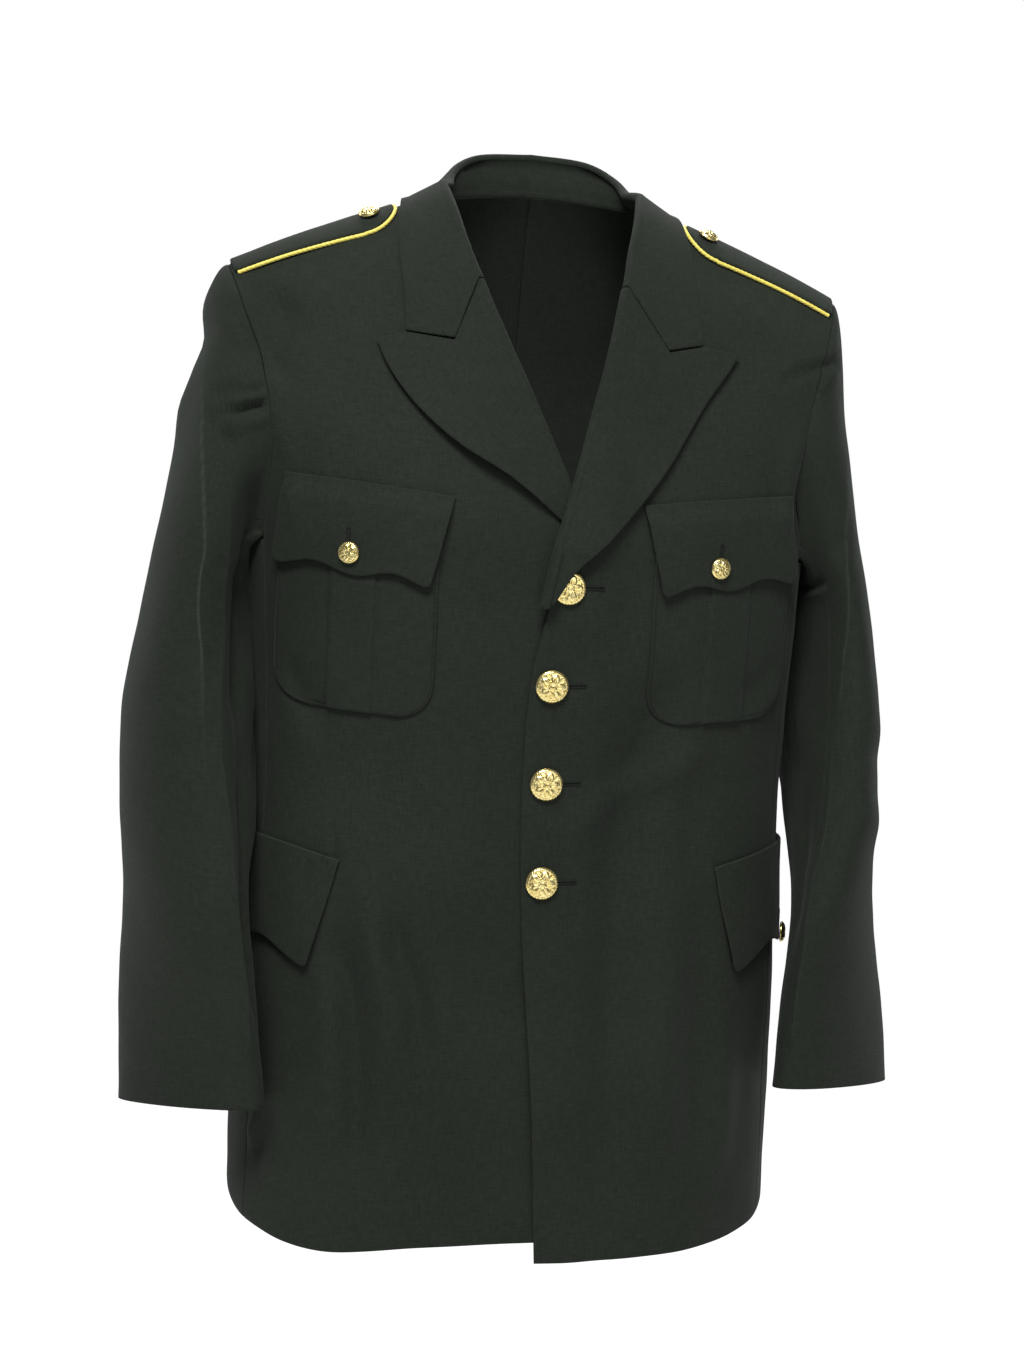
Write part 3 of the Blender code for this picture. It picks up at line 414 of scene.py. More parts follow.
def upper_rise(face):
    """Steps from the armpit level (0) to the shoulder line (1), closer where the body turns over."""
    return np.sin(np.linspace(0, np.pi / 2, STEPS["upper"] + 1)) ** (2 / RISE_POWER[face])


def lower_levels():
    """Steps from the hem (0) to just below the armpit level (1)."""
    return steps_of("lower")[:-1, None]


def front_points(side):
    """The front's grid, from the hem up: rows are heights, columns run from the inner edge out."""
    u = steps_of("front")
    rise = upper_rise(FRONT)[:, None]
    top_x = blend(NECK_X + SEAM, SHOULDER_X, u)
    z_inner = ARMPIT_Z * (1 - rise)
    z_outer = blend(ARMPIT_Z, shoulder_z(SHOULDER_X), rise)
    z = ARMPIT_Z + (shoulder_z(top_x) - ARMPIT_Z) * rise
    inner = front_edge[side](z_inner) + EDGE_IN
    turn = blend(turn_at(inner, z_inner), turn_at(front_armhole(z_outer), z_outer), u)
    x = np.where(rise < 1, x_at(turn, z), top_x)
    x = blend(x, blend(inner, front_armhole(z_outer), u), ease(0.5, 1, rise))
    depth_cut = SEAM / 2 * ease(0.9, 1, rise)
    upper = on_body(x, z, FRONT)
    upper[..., 1] = np.minimum(upper[..., 1], -depth_cut)

    bottom = hem_z[side](blend(-5, np.degrees(FRONT_SEAM), u))
    z = blend(bottom, ARMPIT_Z, lower_levels())
    inner = front_edge[side](z) + EDGE_IN
    turn = blend(turn_at(inner, z), FRONT_SEAM - SEAM / 2 / half_width(z), u)
    lower, _ = round_body(turn, z)
    return np.concatenate([lower, upper])


def front_walls(side):
    points = front_points(side)
    raised = overlap_lift(points[..., 0], points[..., 2]) if side == LEFT else 0 * points[..., 0]
    return body_wall(points, FRONT, raised, raised + CLOTH)


def side_walls(side):
    u = steps_of("side")
    level = steps_of("lower")[:, None]
    bottom = hem_z[side](np.degrees(blend(FRONT_SEAM, BACK_SEAM, u)))
    z = blend(bottom, ARMPIT_Z, level)
    cut = SEAM / 2 / half_width(z)
    points, face = round_body(blend(FRONT_SEAM + cut, BACK_SEAM - cut, u), z)
    return body_wall(points, face, 0, CLOTH)


def neck_z(x):
    """The back neck seam."""
    return NAPE_Z * (1 - (np.abs(x) / NECK_X) ** 2)


NECK_COLUMN = 0.62  # the share of the back's top edge that is the shoulder seam


def back_points(side):
    """The back's grid, from the hem up; columns run from the side seam to the centre back."""
    u = steps_of("back")
    top_x = np.where(
        u < NECK_COLUMN,
        blend(SHOULDER_X, NECK_X + SEAM, np.minimum(u / NECK_COLUMN, 1)),
        (NECK_X + SEAM) * (1 - ((u - NECK_COLUMN) / (1 - NECK_COLUMN))),
    )
    top_z = np.where(u < NECK_COLUMN, shoulder_z(top_x), neck_z(np.minimum(top_x, NECK_X)))
    rise = upper_rise(BACK)[:, None]
    z = ARMPIT_Z + (top_z - ARMPIT_Z) * rise
    z_outer = blend(ARMPIT_Z, shoulder_z(SHOULDER_X), rise)
    outer = back_armhole(z_outer) - SEAM / 2
    straight = x_at((np.pi - BACK_SEAM) * (1 - u), ARMPIT_Z) / x_at(BACK_SEAM, ARMPIT_Z)
    x = outer * blend(straight, top_x / SHOULDER_X, rise**1.5)
    x = np.maximum(x, SEAM / 2)
    upper = on_body(x, z, BACK)
    upper[..., 1] = np.maximum(upper[..., 1], SEAM / 2 * ease(0.9, 1, rise))

    turn = blend(BACK_SEAM, np.pi, u)
    z = blend(hem_z[side](np.degrees(turn)), ARMPIT_Z, lower_levels())
    lower, _ = round_body(turn + SEAM / 2 / half_width(z) * (1 - u), z)
    lower[..., 0] = np.maximum(lower[..., 0], SEAM / 2)
    return np.concatenate([lower, upper])


def back_walls(side):
    return body_wall(back_points(side), BACK, 0, CLOTH)


# ---- lapels and collar ----
def folded_over(base, fold, out, radius):
    """Points from a base up to a fold and round it, ready to lie back down on the outside."""
    up = fold - base
    up = unit(up - out * np.sum(up * out, axis=-1, keepdims=True))
    stand_end = fold - out * radius
    path = [blend(base, stand_end, t) for t in steps_of("stand")[:-1]]
    for angle in np.linspace(-np.pi / 2, np.pi / 2, STEPS["bend"] + 1):
        path.append(fold + radius * (up * np.cos(angle) + out * np.sin(angle)))
    return path


ROLL = 2.8  # radius of the bend at the roll line, to the middle of the cloth
TIGHT_ROLL = 1.7
LOOSE_ROLL = 5.0
LAPEL_CLOTH = CLOTH - 0.2
FOLD_LIFT = 4.5  # the collar's fold stays this far above the fronts and backs


def roll_radius(z, side):
    """The bend is tight where the right lapel ends under the left front, and loose over the button."""
    if side == RIGHT:
        return blend(ROLL, TIGHT_ROLL, ease(170, 205, -z))
    return blend(ROLL, LOOSE_ROLL, ease(225, 262, -z))


def roll_frame(z, side):
    """The base, the fold and the outward direction of the lapel's bend at these heights."""
    edge = front_edge[side](z)
    lift = CLOTH / 2 + (overlap_lift(edge, z) if side == LEFT else 0 * z)
    radius = roll_radius(z, side)[..., None]
    inner = on_body(edge + EDGE_IN - 0.6, z, FRONT)
    line = on_body(edge, z, FRONT)
    out = unit(body_slope(line, FRONT))
    return lifted(inner, FRONT, lift), lifted(line, FRONT, lift) + out * radius, out, radius


def notch_line(side, gorge_steps, notch_steps):
    """The end of the collar, from the roll line along the gorge to the notch and the leaf's corner."""
    start = np.array([front_edge[side](GORGE_Z), GORGE_Z])
    gorge = np.linspace(start, NOTCH_INNER[side], gorge_steps + 1)
    notch = np.linspace(NOTCH_INNER[side], NOTCH_OUTER[side], notch_steps + 1)
    return np.concatenate([gorge, notch[1:]])


def lapel_points(side):
    """Rows run down the roll line; columns go round the bend and out to the lapel's edge."""
    r = steps_of("lapel")
    roll_z = blend(GORGE_Z, ROLL_END_Z[side], r)
    base, fold, out, radius = roll_frame(roll_z, side)
    bend = folded_over(base, fold, out, radius)

    at = {key: smooth_through(LAPEL_EDGE, "at", f"{name_of(side)}_{key}")(r) for key in "xz"}
    peak = (at["x"][0], at["z"][0])
    tip = np.linspace(NOTCH_OUTER[side], peak, STEPS["peak"] + 1)[1:]
    top = np.concatenate([notch_line(side, STEPS["gorge"], STEPS["notch"]), tip])
    c = np.linspace(0, 1, len(top))
    top = top - blend(top[:1], top[-1:], c[:, None])
    fade = (1 - r[:, None]) ** 3
    x = blend(front_edge[side](roll_z)[:, None], at["x"][:, None], c) + fade * top[:, 0]
    z = blend(roll_z[:, None], at["z"][:, None], c) + fade * top[:, 1]
    start = lift_of(fold + out * radius, FRONT)[:, None]
    if side == LEFT:
        start = start - overlap_lift(x[:, :1], z[:, :1]) + overlap_lift(x, z)
    leaf = lifted(on_body(x, z, FRONT), FRONT, start)
    grid = np.stack(bend + [leaf[:, k] for k in range(1, len(c))], axis=1)
    normals = normals_of(grid)
    normals[:, 0] = out
    return grid, normals


def lapel_walls(side):
    return thick_wall(*lapel_points(side), LAPEL_CLOTH)


COLLAR_SHOULDER = 0.45  # where along the collar the shoulder seam meets it
COLLAR_LEAN = dict(side=0.35, per_fold_y=1 / 60, up=0.9)  # which way it faces behind that


def collar_half(side):
    """From the gorge (first row) to the centre back (last row); columns go from base to edge."""
    stations = STEPS["collar"] + 1
    at = np.linspace(0, 1, stations)
    row = {k: smooth_through(COLLAR, "at", k)(at) for k in COLLAR[0] if k != "at"}
    gorge = 1 - ease(0, 0.3, at)

    in_front = at < COLLAR_SHOULDER
    front_z = np.interp(at, [0, 0.2, COLLAR_SHOULDER], [GORGE_Z, -40, 0])
    seam_z = np.where(in_front, front_z, neck_z(row["base_x"]))
    base_x = np.where(in_front, front_edge[side](seam_z) + EDGE_IN - SEAM, row["base_x"])
    face = np.where(in_front, FRONT, BACK)
    neck = on_body(base_x, np.minimum(seam_z, shoulder_z(base_x)), face)
    out = unit(body_slope(neck, face))
    lean_y = row["fold_y"] * COLLAR_LEAN["per_fold_y"]
    lean = unit(points_of(COLLAR_LEAN["side"], lean_y, COLLAR_LEAN["up"]))
    out = unit(blend(out, lean, ease(0.25, 0.6, at)[:, None]))
    fold = points_of(row["fold_x"], row["fold_y"], row["fold_z"])
    radius = np.full((stations, 1), ROLL)
    base = neck + out * CLOTH / 2
    end_base, end_fold, end_out, _ = roll_frame(np.array([GORGE_Z + 1.0]), side)
    fold += (end_fold - fold[0]) * gorge[:, None]
    base += (end_base - base[0]) * gorge[:, None]
    out = unit(blend(out, end_out, gorge[:, None]))
    body = unit(body_slope(neck, face))
    body[0] = end_out[0]
    base = base + unit(fold - base) * (SEAM + 0.5) * ease(0, 0.1, at)[:, None]
    fold = lifted(fold, face, np.maximum(FOLD_LIFT - lift_of(fold, face), 0) * (1 - gorge))
    bend = folded_over(base, fold, out, radius)

    t = steps_of("leaf")[None, :, None]
    start = (fold + out * radius)[:, None, :]
    edge = points_of(row["edge_x"], row["edge_y"], row["edge_z"])[:, None, :]
    leaf = blend(start, edge, t)
    end_line = notch_line(side, STEPS["leaf"] - STEPS["leaf_notch"], STEPS["leaf_notch"])
    in_notch = np.arange(len(end_line)) > len(end_line) - 2 - STEPS["leaf_notch"]
    slit = blend(-GORGE_LAP, NOTCH_SLIT, in_notch)
    end_row = on_body(end_line[:, 0], end_line[:, 1] + slit, FRONT)
    shift = end_row - blend(end_row[:1], end_row[-1:], t[0])
    to_end = end_row[-1] - edge[0, 0]
    leaf = leaf + gorge[:, None, None] * (shift[None] + to_end * t)
    face = np.where(leaf[..., 1] < 0, FRONT, BACK)
    lift = lift_of(leaf, face)
    rest = CLOTH / 2 + 2 * ROLL
    on_chest = (1 - ease(0.25, 0.5, at))[:, None]
    target = blend(np.maximum(lift, rest), rest, on_chest)
    settle = ease(0, 0.14, t[0, :, 0])[None]
    leaf = lifted(leaf, face, (target - lift) * settle)
    return np.concatenate([np.stack(bend[:-1], axis=1), leaf], axis=1), body


def collar_walls():
    left, left_body = collar_half(LEFT)
    right, right_body = collar_half(RIGHT)
    left[-1, :, 0] = 0
    grid = np.concatenate([left, mirrored(right, RIGHT)[-2::-1]])
    normals = normals_of(grid)
    normals[:, 0] = np.concatenate([left_body, mirrored(right_body, RIGHT)[-2::-1]])
    return thick_wall(grid, normals, CLOTH)


# ---- sleeves ----
ARMHOLE_GAP = 0.3
CAP_LEAN = {LEFT: -38, RIGHT: -30}  # how far the sleeve's top leans in above its first level
ARMPIT_UP = 4.0  # under the arm the sleeve passes over the side panel's top edge
UNDER_ARM = np.radians(150)  # the side panel's edge is the armhole beyond this turn either way
CAP_OUT_UNDER = 8  # CAP_OUT under the arm
CAP_RISE = 0.55  # the share of the cap's drop over which it keeps the arm's direction
SLEEVE_LAP = np.radians(-0.06)  # where the sleeve's two pieces meet


def wrapped(turns):
    return (turns + np.pi) % (2 * np.pi) - np.pi


def armhole_loop(turns):
    """Points of the armhole's edge on the body: 0 is the shoulder point, 90 degrees the front."""
    turns = wrapped(turns)
    share = np.clip(np.abs(turns) / UNDER_ARM, 0, 1)
    top = shoulder_z(SHOULDER_X)
    z = top + (ARMPIT_Z - top) * (1 - np.cos(share * np.pi)) / 2
    front = on_body(front_armhole(z), z, FRONT)
    back = on_body(back_armhole(z), z, BACK)
    beyond = np.where(turns > 0, turns, 2 * np.pi + turns) - UNDER_ARM
    across = beyond / (2 * np.pi - 2 * UNDER_ARM)
    under, _ = round_body(blend(FRONT_SEAM, BACK_SEAM, across), ARMPIT_Z + 0 * turns)
    loop = np.where((turns > 0)[:, None], front, back)
    return np.where((np.abs(turns) > UNDER_ARM)[:, None], under, loop)


def sleeve_section(turns, z, side):
    """A level ring of the sleeve: 0 is its outermost line, 90 degrees the front."""
    size = {k: smooth_through(SLEEVE, "z", k)(z) for k in ("long", "tilt")}
    size.update({k: smooth_through(SLEEVE_SIDE[side], "z", k)(z) for k in ("x", "y", "short", "turn")})
    twist = np.radians(size["turn"])
    short = size["short"] * np.cos(turns)
    long = -size["long"] * np.sin(turns)
    x = size["x"] + short * np.cos(twist) + long * np.sin(twist)
    forward = -short * np.sin(twist) + long * np.cos(twist)
    return points_of(x, size["y"] + forward, z - size["tilt"] * forward)


def sleeve_points(side, turns):
    loop = armhole_loop(turns)
    below = np.linspace(SLEEVE[0]["z"], SLEEVE_END[side], STEPS["arm"] + 1)
    first = sleeve_section(turns, below[0], side)
    drop = (loop[:, 2] - first[:, 2])[:, None]
    under = (1 - np.cos(turns))[:, None] / 2
    sideways = np.stack([1 - 0.25 * under[:, 0], -0.22 * np.sin(turns), -0.12 * under[:, 0]], axis=1)
    out = blend(CAP_OUT[side], CAP_OUT_UNDER, under) * unit(sideways)
    start = loop + unit(sideways) * ARMHOLE_GAP + body_out(turns) * CLOTH / 2
    start[:, 2] += ARMPIT_UP * ease(np.radians(130), UNDER_ARM, np.abs(wrapped(turns)))
    lean = np.stack([CAP_LEAN[side] * (1 + np.cos(turns)) / 2, 0 * turns, 0 * turns], axis=1)
    up = points_of(0 * turns, 0 * turns, 1) * (CAP_RISE * drop) + lean
    cap = []
    for t in np.linspace(0, 1, STEPS["cap"])[:-1]:
        cap.append(
            (1 - t) ** 3 * start
            + 3 * t * (1 - t) ** 2 * (start + out)
            + 3 * t**2 * (1 - t) * (first + up)
            + t**3 * first
        )
    arm = [sleeve_section(turns, z, side) for z in below]
    return np.stack(cap + arm)


def body_out(turns):
    """Straight out of the body along the armhole's edge."""
    loop = armhole_loop(turns)
    return unit(body_slope(loop, np.where(loop[:, 1] < 0, FRONT, BACK)))


def sleeve_turns(part):
    first, last = SLEEVE_SEAMS
    if part == "sleeve_under":
        first, last = last, first + 2 * np.pi
    return np.linspace(first + SLEEVE_LAP, last - SLEEVE_LAP, STEPS[part] + 1)


def sleeve_walls(side, part):
    turns = sleeve_turns(part)
    step = turns[1] - turns[0]
    turns = np.concatenate([[turns[0] - step], turns, [turns[-1] + step]])
    grid = sleeve_points(side, turns)
    normals = normals_of(grid)
    leaving = unit(grid[1] - grid[0])
    out = body_out(turns)
    normals[0] = unit(out - leaving * np.sum(out * leaving, axis=-1, keepdims=True))
    return thick_wall(grid[:, 1:-1], normals[:, 1:-1], CLOTH)


# ---- shoulder straps ----
STRAP_SHORT = 2  # a strap ends this far inside the armhole's edge


def from_tip_to_end(strap, x, value):
    """A value of the strap that changes evenly from its tip to its end."""
    share = (x - strap["tip_x"]) / (strap["end_x"] - strap["tip_x"])
    return blend(strap["tip_" + value], strap["end_" + value], share)


def strap_half(strap, x):
    """Half the strap's width at this distance from the middle, round at its neck end."""
    straight = from_tip_to_end(strap, x, "half")
    from_tip = np.clip((x - strap["tip_x"]) / strap["tip_half"], 0, 1)
    return straight * np.sqrt(np.clip(1 - (1 - from_tip) ** 2, 0.02, 1))


def strap_end(strap, y):
    """Where the strap meets the armhole seam, this far in front of or behind the shoulder seam."""
    spot, face = over_shoulder(strap["end_x"] + 0 * y, y)
    armhole = np.where(face < 0, front_armhole(spot[..., 2]), back_armhole(spot[..., 2]))
    return np.minimum(strap["end_x"], armhole - STRAP_SHORT)


def strap_y(strap, x):
    """The strap's middle line runs near the shoulder seam."""
    return from_tip_to_end(strap, x, "y")


STRAP_LOW = CLOTH + 0.3
STRAP_THICK = 3.5
STRAP_BUTTON_LOW = STRAP_LOW + STRAP_THICK + LAY + 0.4


def strap_walls(side):
    strap = STRAPS[side]
    bunch = steps_of("strap")[:, None] ** 1.5
    across = np.linspace(-1, 1, STEPS["strap_across"] + 1)
    end = strap_end(strap, strap["end_y"] + strap["end_half"] * across)
    x = blend(strap["tip_x"], end, bunch)
    y = strap_y(strap, x) + strap_half(strap, x) * across
    points, face = over_shoulder(x, y)
    return body_wall(points, face, STRAP_LOW, STRAP_LOW + STRAP_THICK)


def piping_path(side):
    """The cord round the strap's edge, from the sleeve seam round the tip and back."""
    strap = STRAPS[side]
    steps = STEPS["piping"] + 1
    radius = strap["tip_half"]
    away = PIPING_RADIUS + SEAM + 0.2
    middle = strap["tip_x"] + radius
    turn = np.linspace(np.pi / 2, 0, steps // 2 + 1)[:, None]
    tip_x = middle - (radius + away) * np.cos(turn)
    tip_y = -(radius + away) * np.sin(turn)
    edge_half = strap["end_half"] + away
    ends = strap_end(strap, strap["end_y"] + edge_half * np.array([-1.0, 1.0]))
    front_x, back_x = (np.linspace(end, middle, steps)[:-1, None] for end in ends)
    x = np.concatenate([front_x, tip_x, tip_x[-2::-1], back_x[::-1]])[:, 0]
    front_half, back_half = strap_half(strap, front_x), strap_half(strap, back_x[::-1])
    run_y = [-front_half - away, tip_y, -tip_y[-2::-1], back_half + away]
    y = np.concatenate(run_y)[:, 0]
    points, face = over_shoulder(x, y + strap_y(strap, x))
    return lifted(points, face, STRAP_LOW + PIPING_RADIUS)


# ---- pockets and flaps ----
POCKET = dict(inner=77, outer=187, top=-246, bottom_inner=-384, bottom_outer=-377, corner=26)
PLEAT = dict(middle=135, half=15, raise_by=1.6, step=0.8)
PATCH_THICK = 1.6
PATCH_LOW = CLOTH + LAY

# A flap's upper and lower edges from its inner end (0) to its outer end (1).
BREAST_FLAP = dict(
    top_in=(67, -226), top_out=(183, -213), bottom_in=(81, -291), bottom_out=(187, -277)
)
BREAST_SCALLOP = 6
FLAP_THICK = 2.0
FLAP_LOW = PATCH_LOW + PATCH_THICK + PLEAT["raise_by"] + LAY
FLAP_RAMP = 17  # how far below its top edge the flap has reached that height
CORNER = 6  # the flaps' lower corners are round, with this radius


def scallop(u):
    """The flap's lower edge: two shallow arcs between three points, as a share of their depth."""
    return np.sin(2 * np.pi * u) ** 2


def round_corners(u, width):
    """How far the flap's lower edge rises to its round corners."""
    near = np.minimum(np.minimum(u, 1 - u) * width, CORNER)
    return CORNER - np.sqrt(CORNER**2 - (CORNER - near) ** 2)


def pocket_walls():
    edges = [PLEAT["middle"] - PLEAT["half"], PLEAT["middle"] + PLEAT["half"]]
    step = PLEAT["step"]
    x = np.concatenate([
        np.linspace(POCKET["inner"], edges[0] - step, STEPS["pocket_half"] + 1),
        np.linspace(edges[0], edges[1], STEPS["pocket_half"] // 2 + 1),
        np.linspace(edges[1] + step, POCKET["outer"], STEPS["pocket_half"] + 1),
    ])
    share = (x - POCKET["inner"]) / (POCKET["outer"] - POCKET["inner"])
    near = np.minimum(x - POCKET["inner"], POCKET["outer"] - x)
    short = POCKET["corner"] - np.minimum(near, POCKET["corner"])
    corner = POCKET["corner"] - np.sqrt(np.maximum(POCKET["corner"] ** 2 - short**2, 0))
    bottom = blend(POCKET["bottom_inner"], POCKET["bottom_outer"], share) + corner
    z = blend(bottom, POCKET["top"], steps_of("pocket")[:, None])
    points = on_body(x + 0 * z, z, FRONT)
    raised = np.where((x >= edges[0]) & (x <= edges[1]), PLEAT["raise_by"], 0) + 0 * z
    return body_wall(points, FRONT, PATCH_LOW, PATCH_LOW + PATCH_THICK + raised)


def flap_lift(drop, low, high, ramp):
    return blend(low, high, ease(0, ramp, drop))


def breast_flap_walls():
    u = steps_of("flap")
    corners = {k: np.array(v, float)[:, None] for k, v in BREAST_FLAP.items()}
    top = blend(corners["top_in"], corners["top_out"], u)
    bottom = blend(corners["bottom_in"], corners["bottom_out"], u)
    bottom[1] += BREAST_SCALLOP * scallop(u) + round_corners(u, bottom[0, -1] - bottom[0, 0])
    v = steps_of("flap_drop")[:, None, None]
    x, z = blend(bottom[0], top[0], v[:, 0]), blend(bottom[1], top[1], v[:, 0])
    points = on_body(x, z, FRONT)
    low = flap_lift(top[1] - z, CLOTH + LAY, FLAP_LOW, FLAP_RAMP)
    return body_wall(points, FRONT, low, low + FLAP_THICK)


LOWER_FLAP = dict(front_top_x=137, front_bottom_x=155, width_top=178, width_bottom=170)
LOWER_FLAP_TOP = table("along z", (0, -489), (45, -481), (178, -479))
LOWER_FLAP_DEPTH = 81
LOWER_SCALLOP = 10


def along_body(z, start_turn, distance):
    """The turn reached after a distance round the body from a start."""
    turns = start_turn + np.linspace(0, np.radians(110), 200)
    ring, _ = round_body(turns, z + 0 * turns)
    return np.interp(distance, run_of(ring), turns)


def lower_flap_grid():
    """The turn and the height of each of the flap's points, and the height of its top edge."""
    u = steps_of("flap")
    v = np.linspace(1, 0, STEPS["flap_drop"] + 1)[:, None]
    top = smooth_through(LOWER_FLAP_TOP, "along", "z")(u * LOWER_FLAP["width_top"])
    rise = LOWER_SCALLOP * scallop(u) + round_corners(u, LOWER_FLAP["width_bottom"])
    heights = top - (LOWER_FLAP_DEPTH - rise) * v
    start = turn_at(blend(LOWER_FLAP["front_top_x"], LOWER_FLAP["front_bottom_x"], v), heights)
    along = u * blend(LOWER_FLAP["width_top"], LOWER_FLAP["width_bottom"], v)
    turns = np.vectorize(along_body)(heights, start, along)
    return turns, heights, top


LOWER_FLAP_LOW = CLOTH + 2 * LAY
LOWER_FLAP_STAND = 1.2  # how far the flap's lower edge stands off the body


def lower_flap_walls():
    turns, z, top = lower_flap_grid()
    points, face = round_body(turns, z)
    low = flap_lift(top - z, LOWER_FLAP_LOW, LOWER_FLAP_LOW + LOWER_FLAP_STAND, LOWER_FLAP_DEPTH)
    return body_wall(points, face, low, low + FLAP_THICK)


def cloth_pieces():
    """Every piece of cloth: its name, its side, and the inner and outer faces of its wall."""
    pieces = [("collar", LEFT, collar_walls())]
    for tag, side in SIDES.items():
        walls = {
            "front": front_walls(side),
            "side": side_walls(side),
            "back": back_walls(side),
            "sleeve_top": sleeve_walls(side, "sleeve_top"),
            "sleeve_under": sleeve_walls(side, "sleeve_under"),
            "lapel": lapel_walls(side),
            "epaulette": strap_walls(side),
            "breast_pocket": pocket_walls(),
            "breast_flap": breast_flap_walls(),
            "lower_flap": lower_flap_walls(),
        }
        pieces += [(f"{name}_{tag}", side, faces) for name, faces in walls.items()]
    return pieces


# ---- folds and unevenness of the cloth ----
# A fold is a path, half its width and its height; a negative height is a hollow. Sharp folds are
# pressed creases, and the number says how much rubbing and a painted highlight lighten them. A place
# on the body is how far round it from the centre front, and how high.
BODY_FOLDS = {
    LEFT: table(
        "path width height",
        ([(9, -486), (20, -462), (40, -436), (84, -418), (132, -398)], 10, 3.6),
        ([(96, -330), (74, -365), (58, -417), (50, -461), (50, -540)], 19, -7.5),
        ([(50, -470), (50, -540), (54, -620), (60, -740)], 20, -7.5),
        ([(0, -520), (0, -590), (2, -680), (4, -760)], 22, 4.4),
        ([(96, -460), (98, -540), (96, -620), (104, -720)], 18, 3.6),
        ([(60, -480), (74, -560), (70, -680)], 22, 2.7),
        ([(118, -560), (132, -640), (126, -730)], 20, -2.7),
        ([(150, -600), (164, -680), (160, -740)], 18, 2.7),
        ([(226, -250), (212, -200), (192, -150)], 12, -3.9),
        ([(196, -250), (186, -200), (168, -150)], 12, 2.1),
        ([(124, -130), (142, -122), (152, -118), (163, -113), (182, -107)], 4.5, -3.6),
        ([(214, -330), (190, -352), (150, -366)], 12, -2.4),
        ([(560, -60), (500, -150), (470, -260)], 26, 3.8),
        ([(480, -330), (560, -345), (640, -338)], 20, -3.8),
        ([(400, -380), (470, -410), (560, -420)], 16, 4.3),
        ([(520, -520), (540, -640), (530, -760)], 26, 4.8),
        ([(430, -500), (450, -640), (440, -750)], 24, -4.3),
        ([(330, -300), (352, -380), (340, -470)], 18, -4.3),
    ),
    RIGHT: table(
        "path width height",
        ([(112, -76), (134, -104), (157, -124), (176, -150)], 15, -8.0),
        ([(146, -78), (168, -112), (190, -146)], 12, 2.4),
        ([(200, -262), (190, -210), (178, -160)], 12, 2.1),
        ([(150, -462), (147, -474), (141, -492)], 3.5, -1.8),
        ([(245, -715), (232, -698), (214, -668)], 8, 4.2),
        ([(233, -730), (214, -702), (196, -672)], 9, -2.4),
        ([(92, -510), (80, -555), (64, -588), (56, -650)], 10, -6.2),
        ([(128, -470), (110, -540), (88, -600), (84, -680)], 12, 3.4),
        ([(40, -520), (46, -580), (52, -640)], 14, 2.4),
        ([(104, -500), (100, -545), (78, -590)], 10, 2.2),
        ([(150, -530), (122, -585), (112, -650), (108, -740)], 12, -7.0),
        ([(150, -560), (146, -640), (150, -740)], 18, 3.0),
        ([(60, -330), (70, -400), (64, -470)], 20, 2.1),
        ([(216, -340), (190, -372), (150, -392)], 13, -2.7),
        ([(540, -70), (510, -160), (480, -250)], 24, 4.3),
        ([(470, -340), (550, -330), (640, -342)], 18, -3.8),
        ([(390, -400), (480, -400), (550, -430)], 16, 4.3),
        ([(500, -500), (520, -620), (516, -760)], 24, -4.3),
        ([(410, -520), (430, -640), (424, -750)], 24, 4.8),
        ([(330, -310), (346, -380), (336, -480)], 18, -4.3),
    ),
}
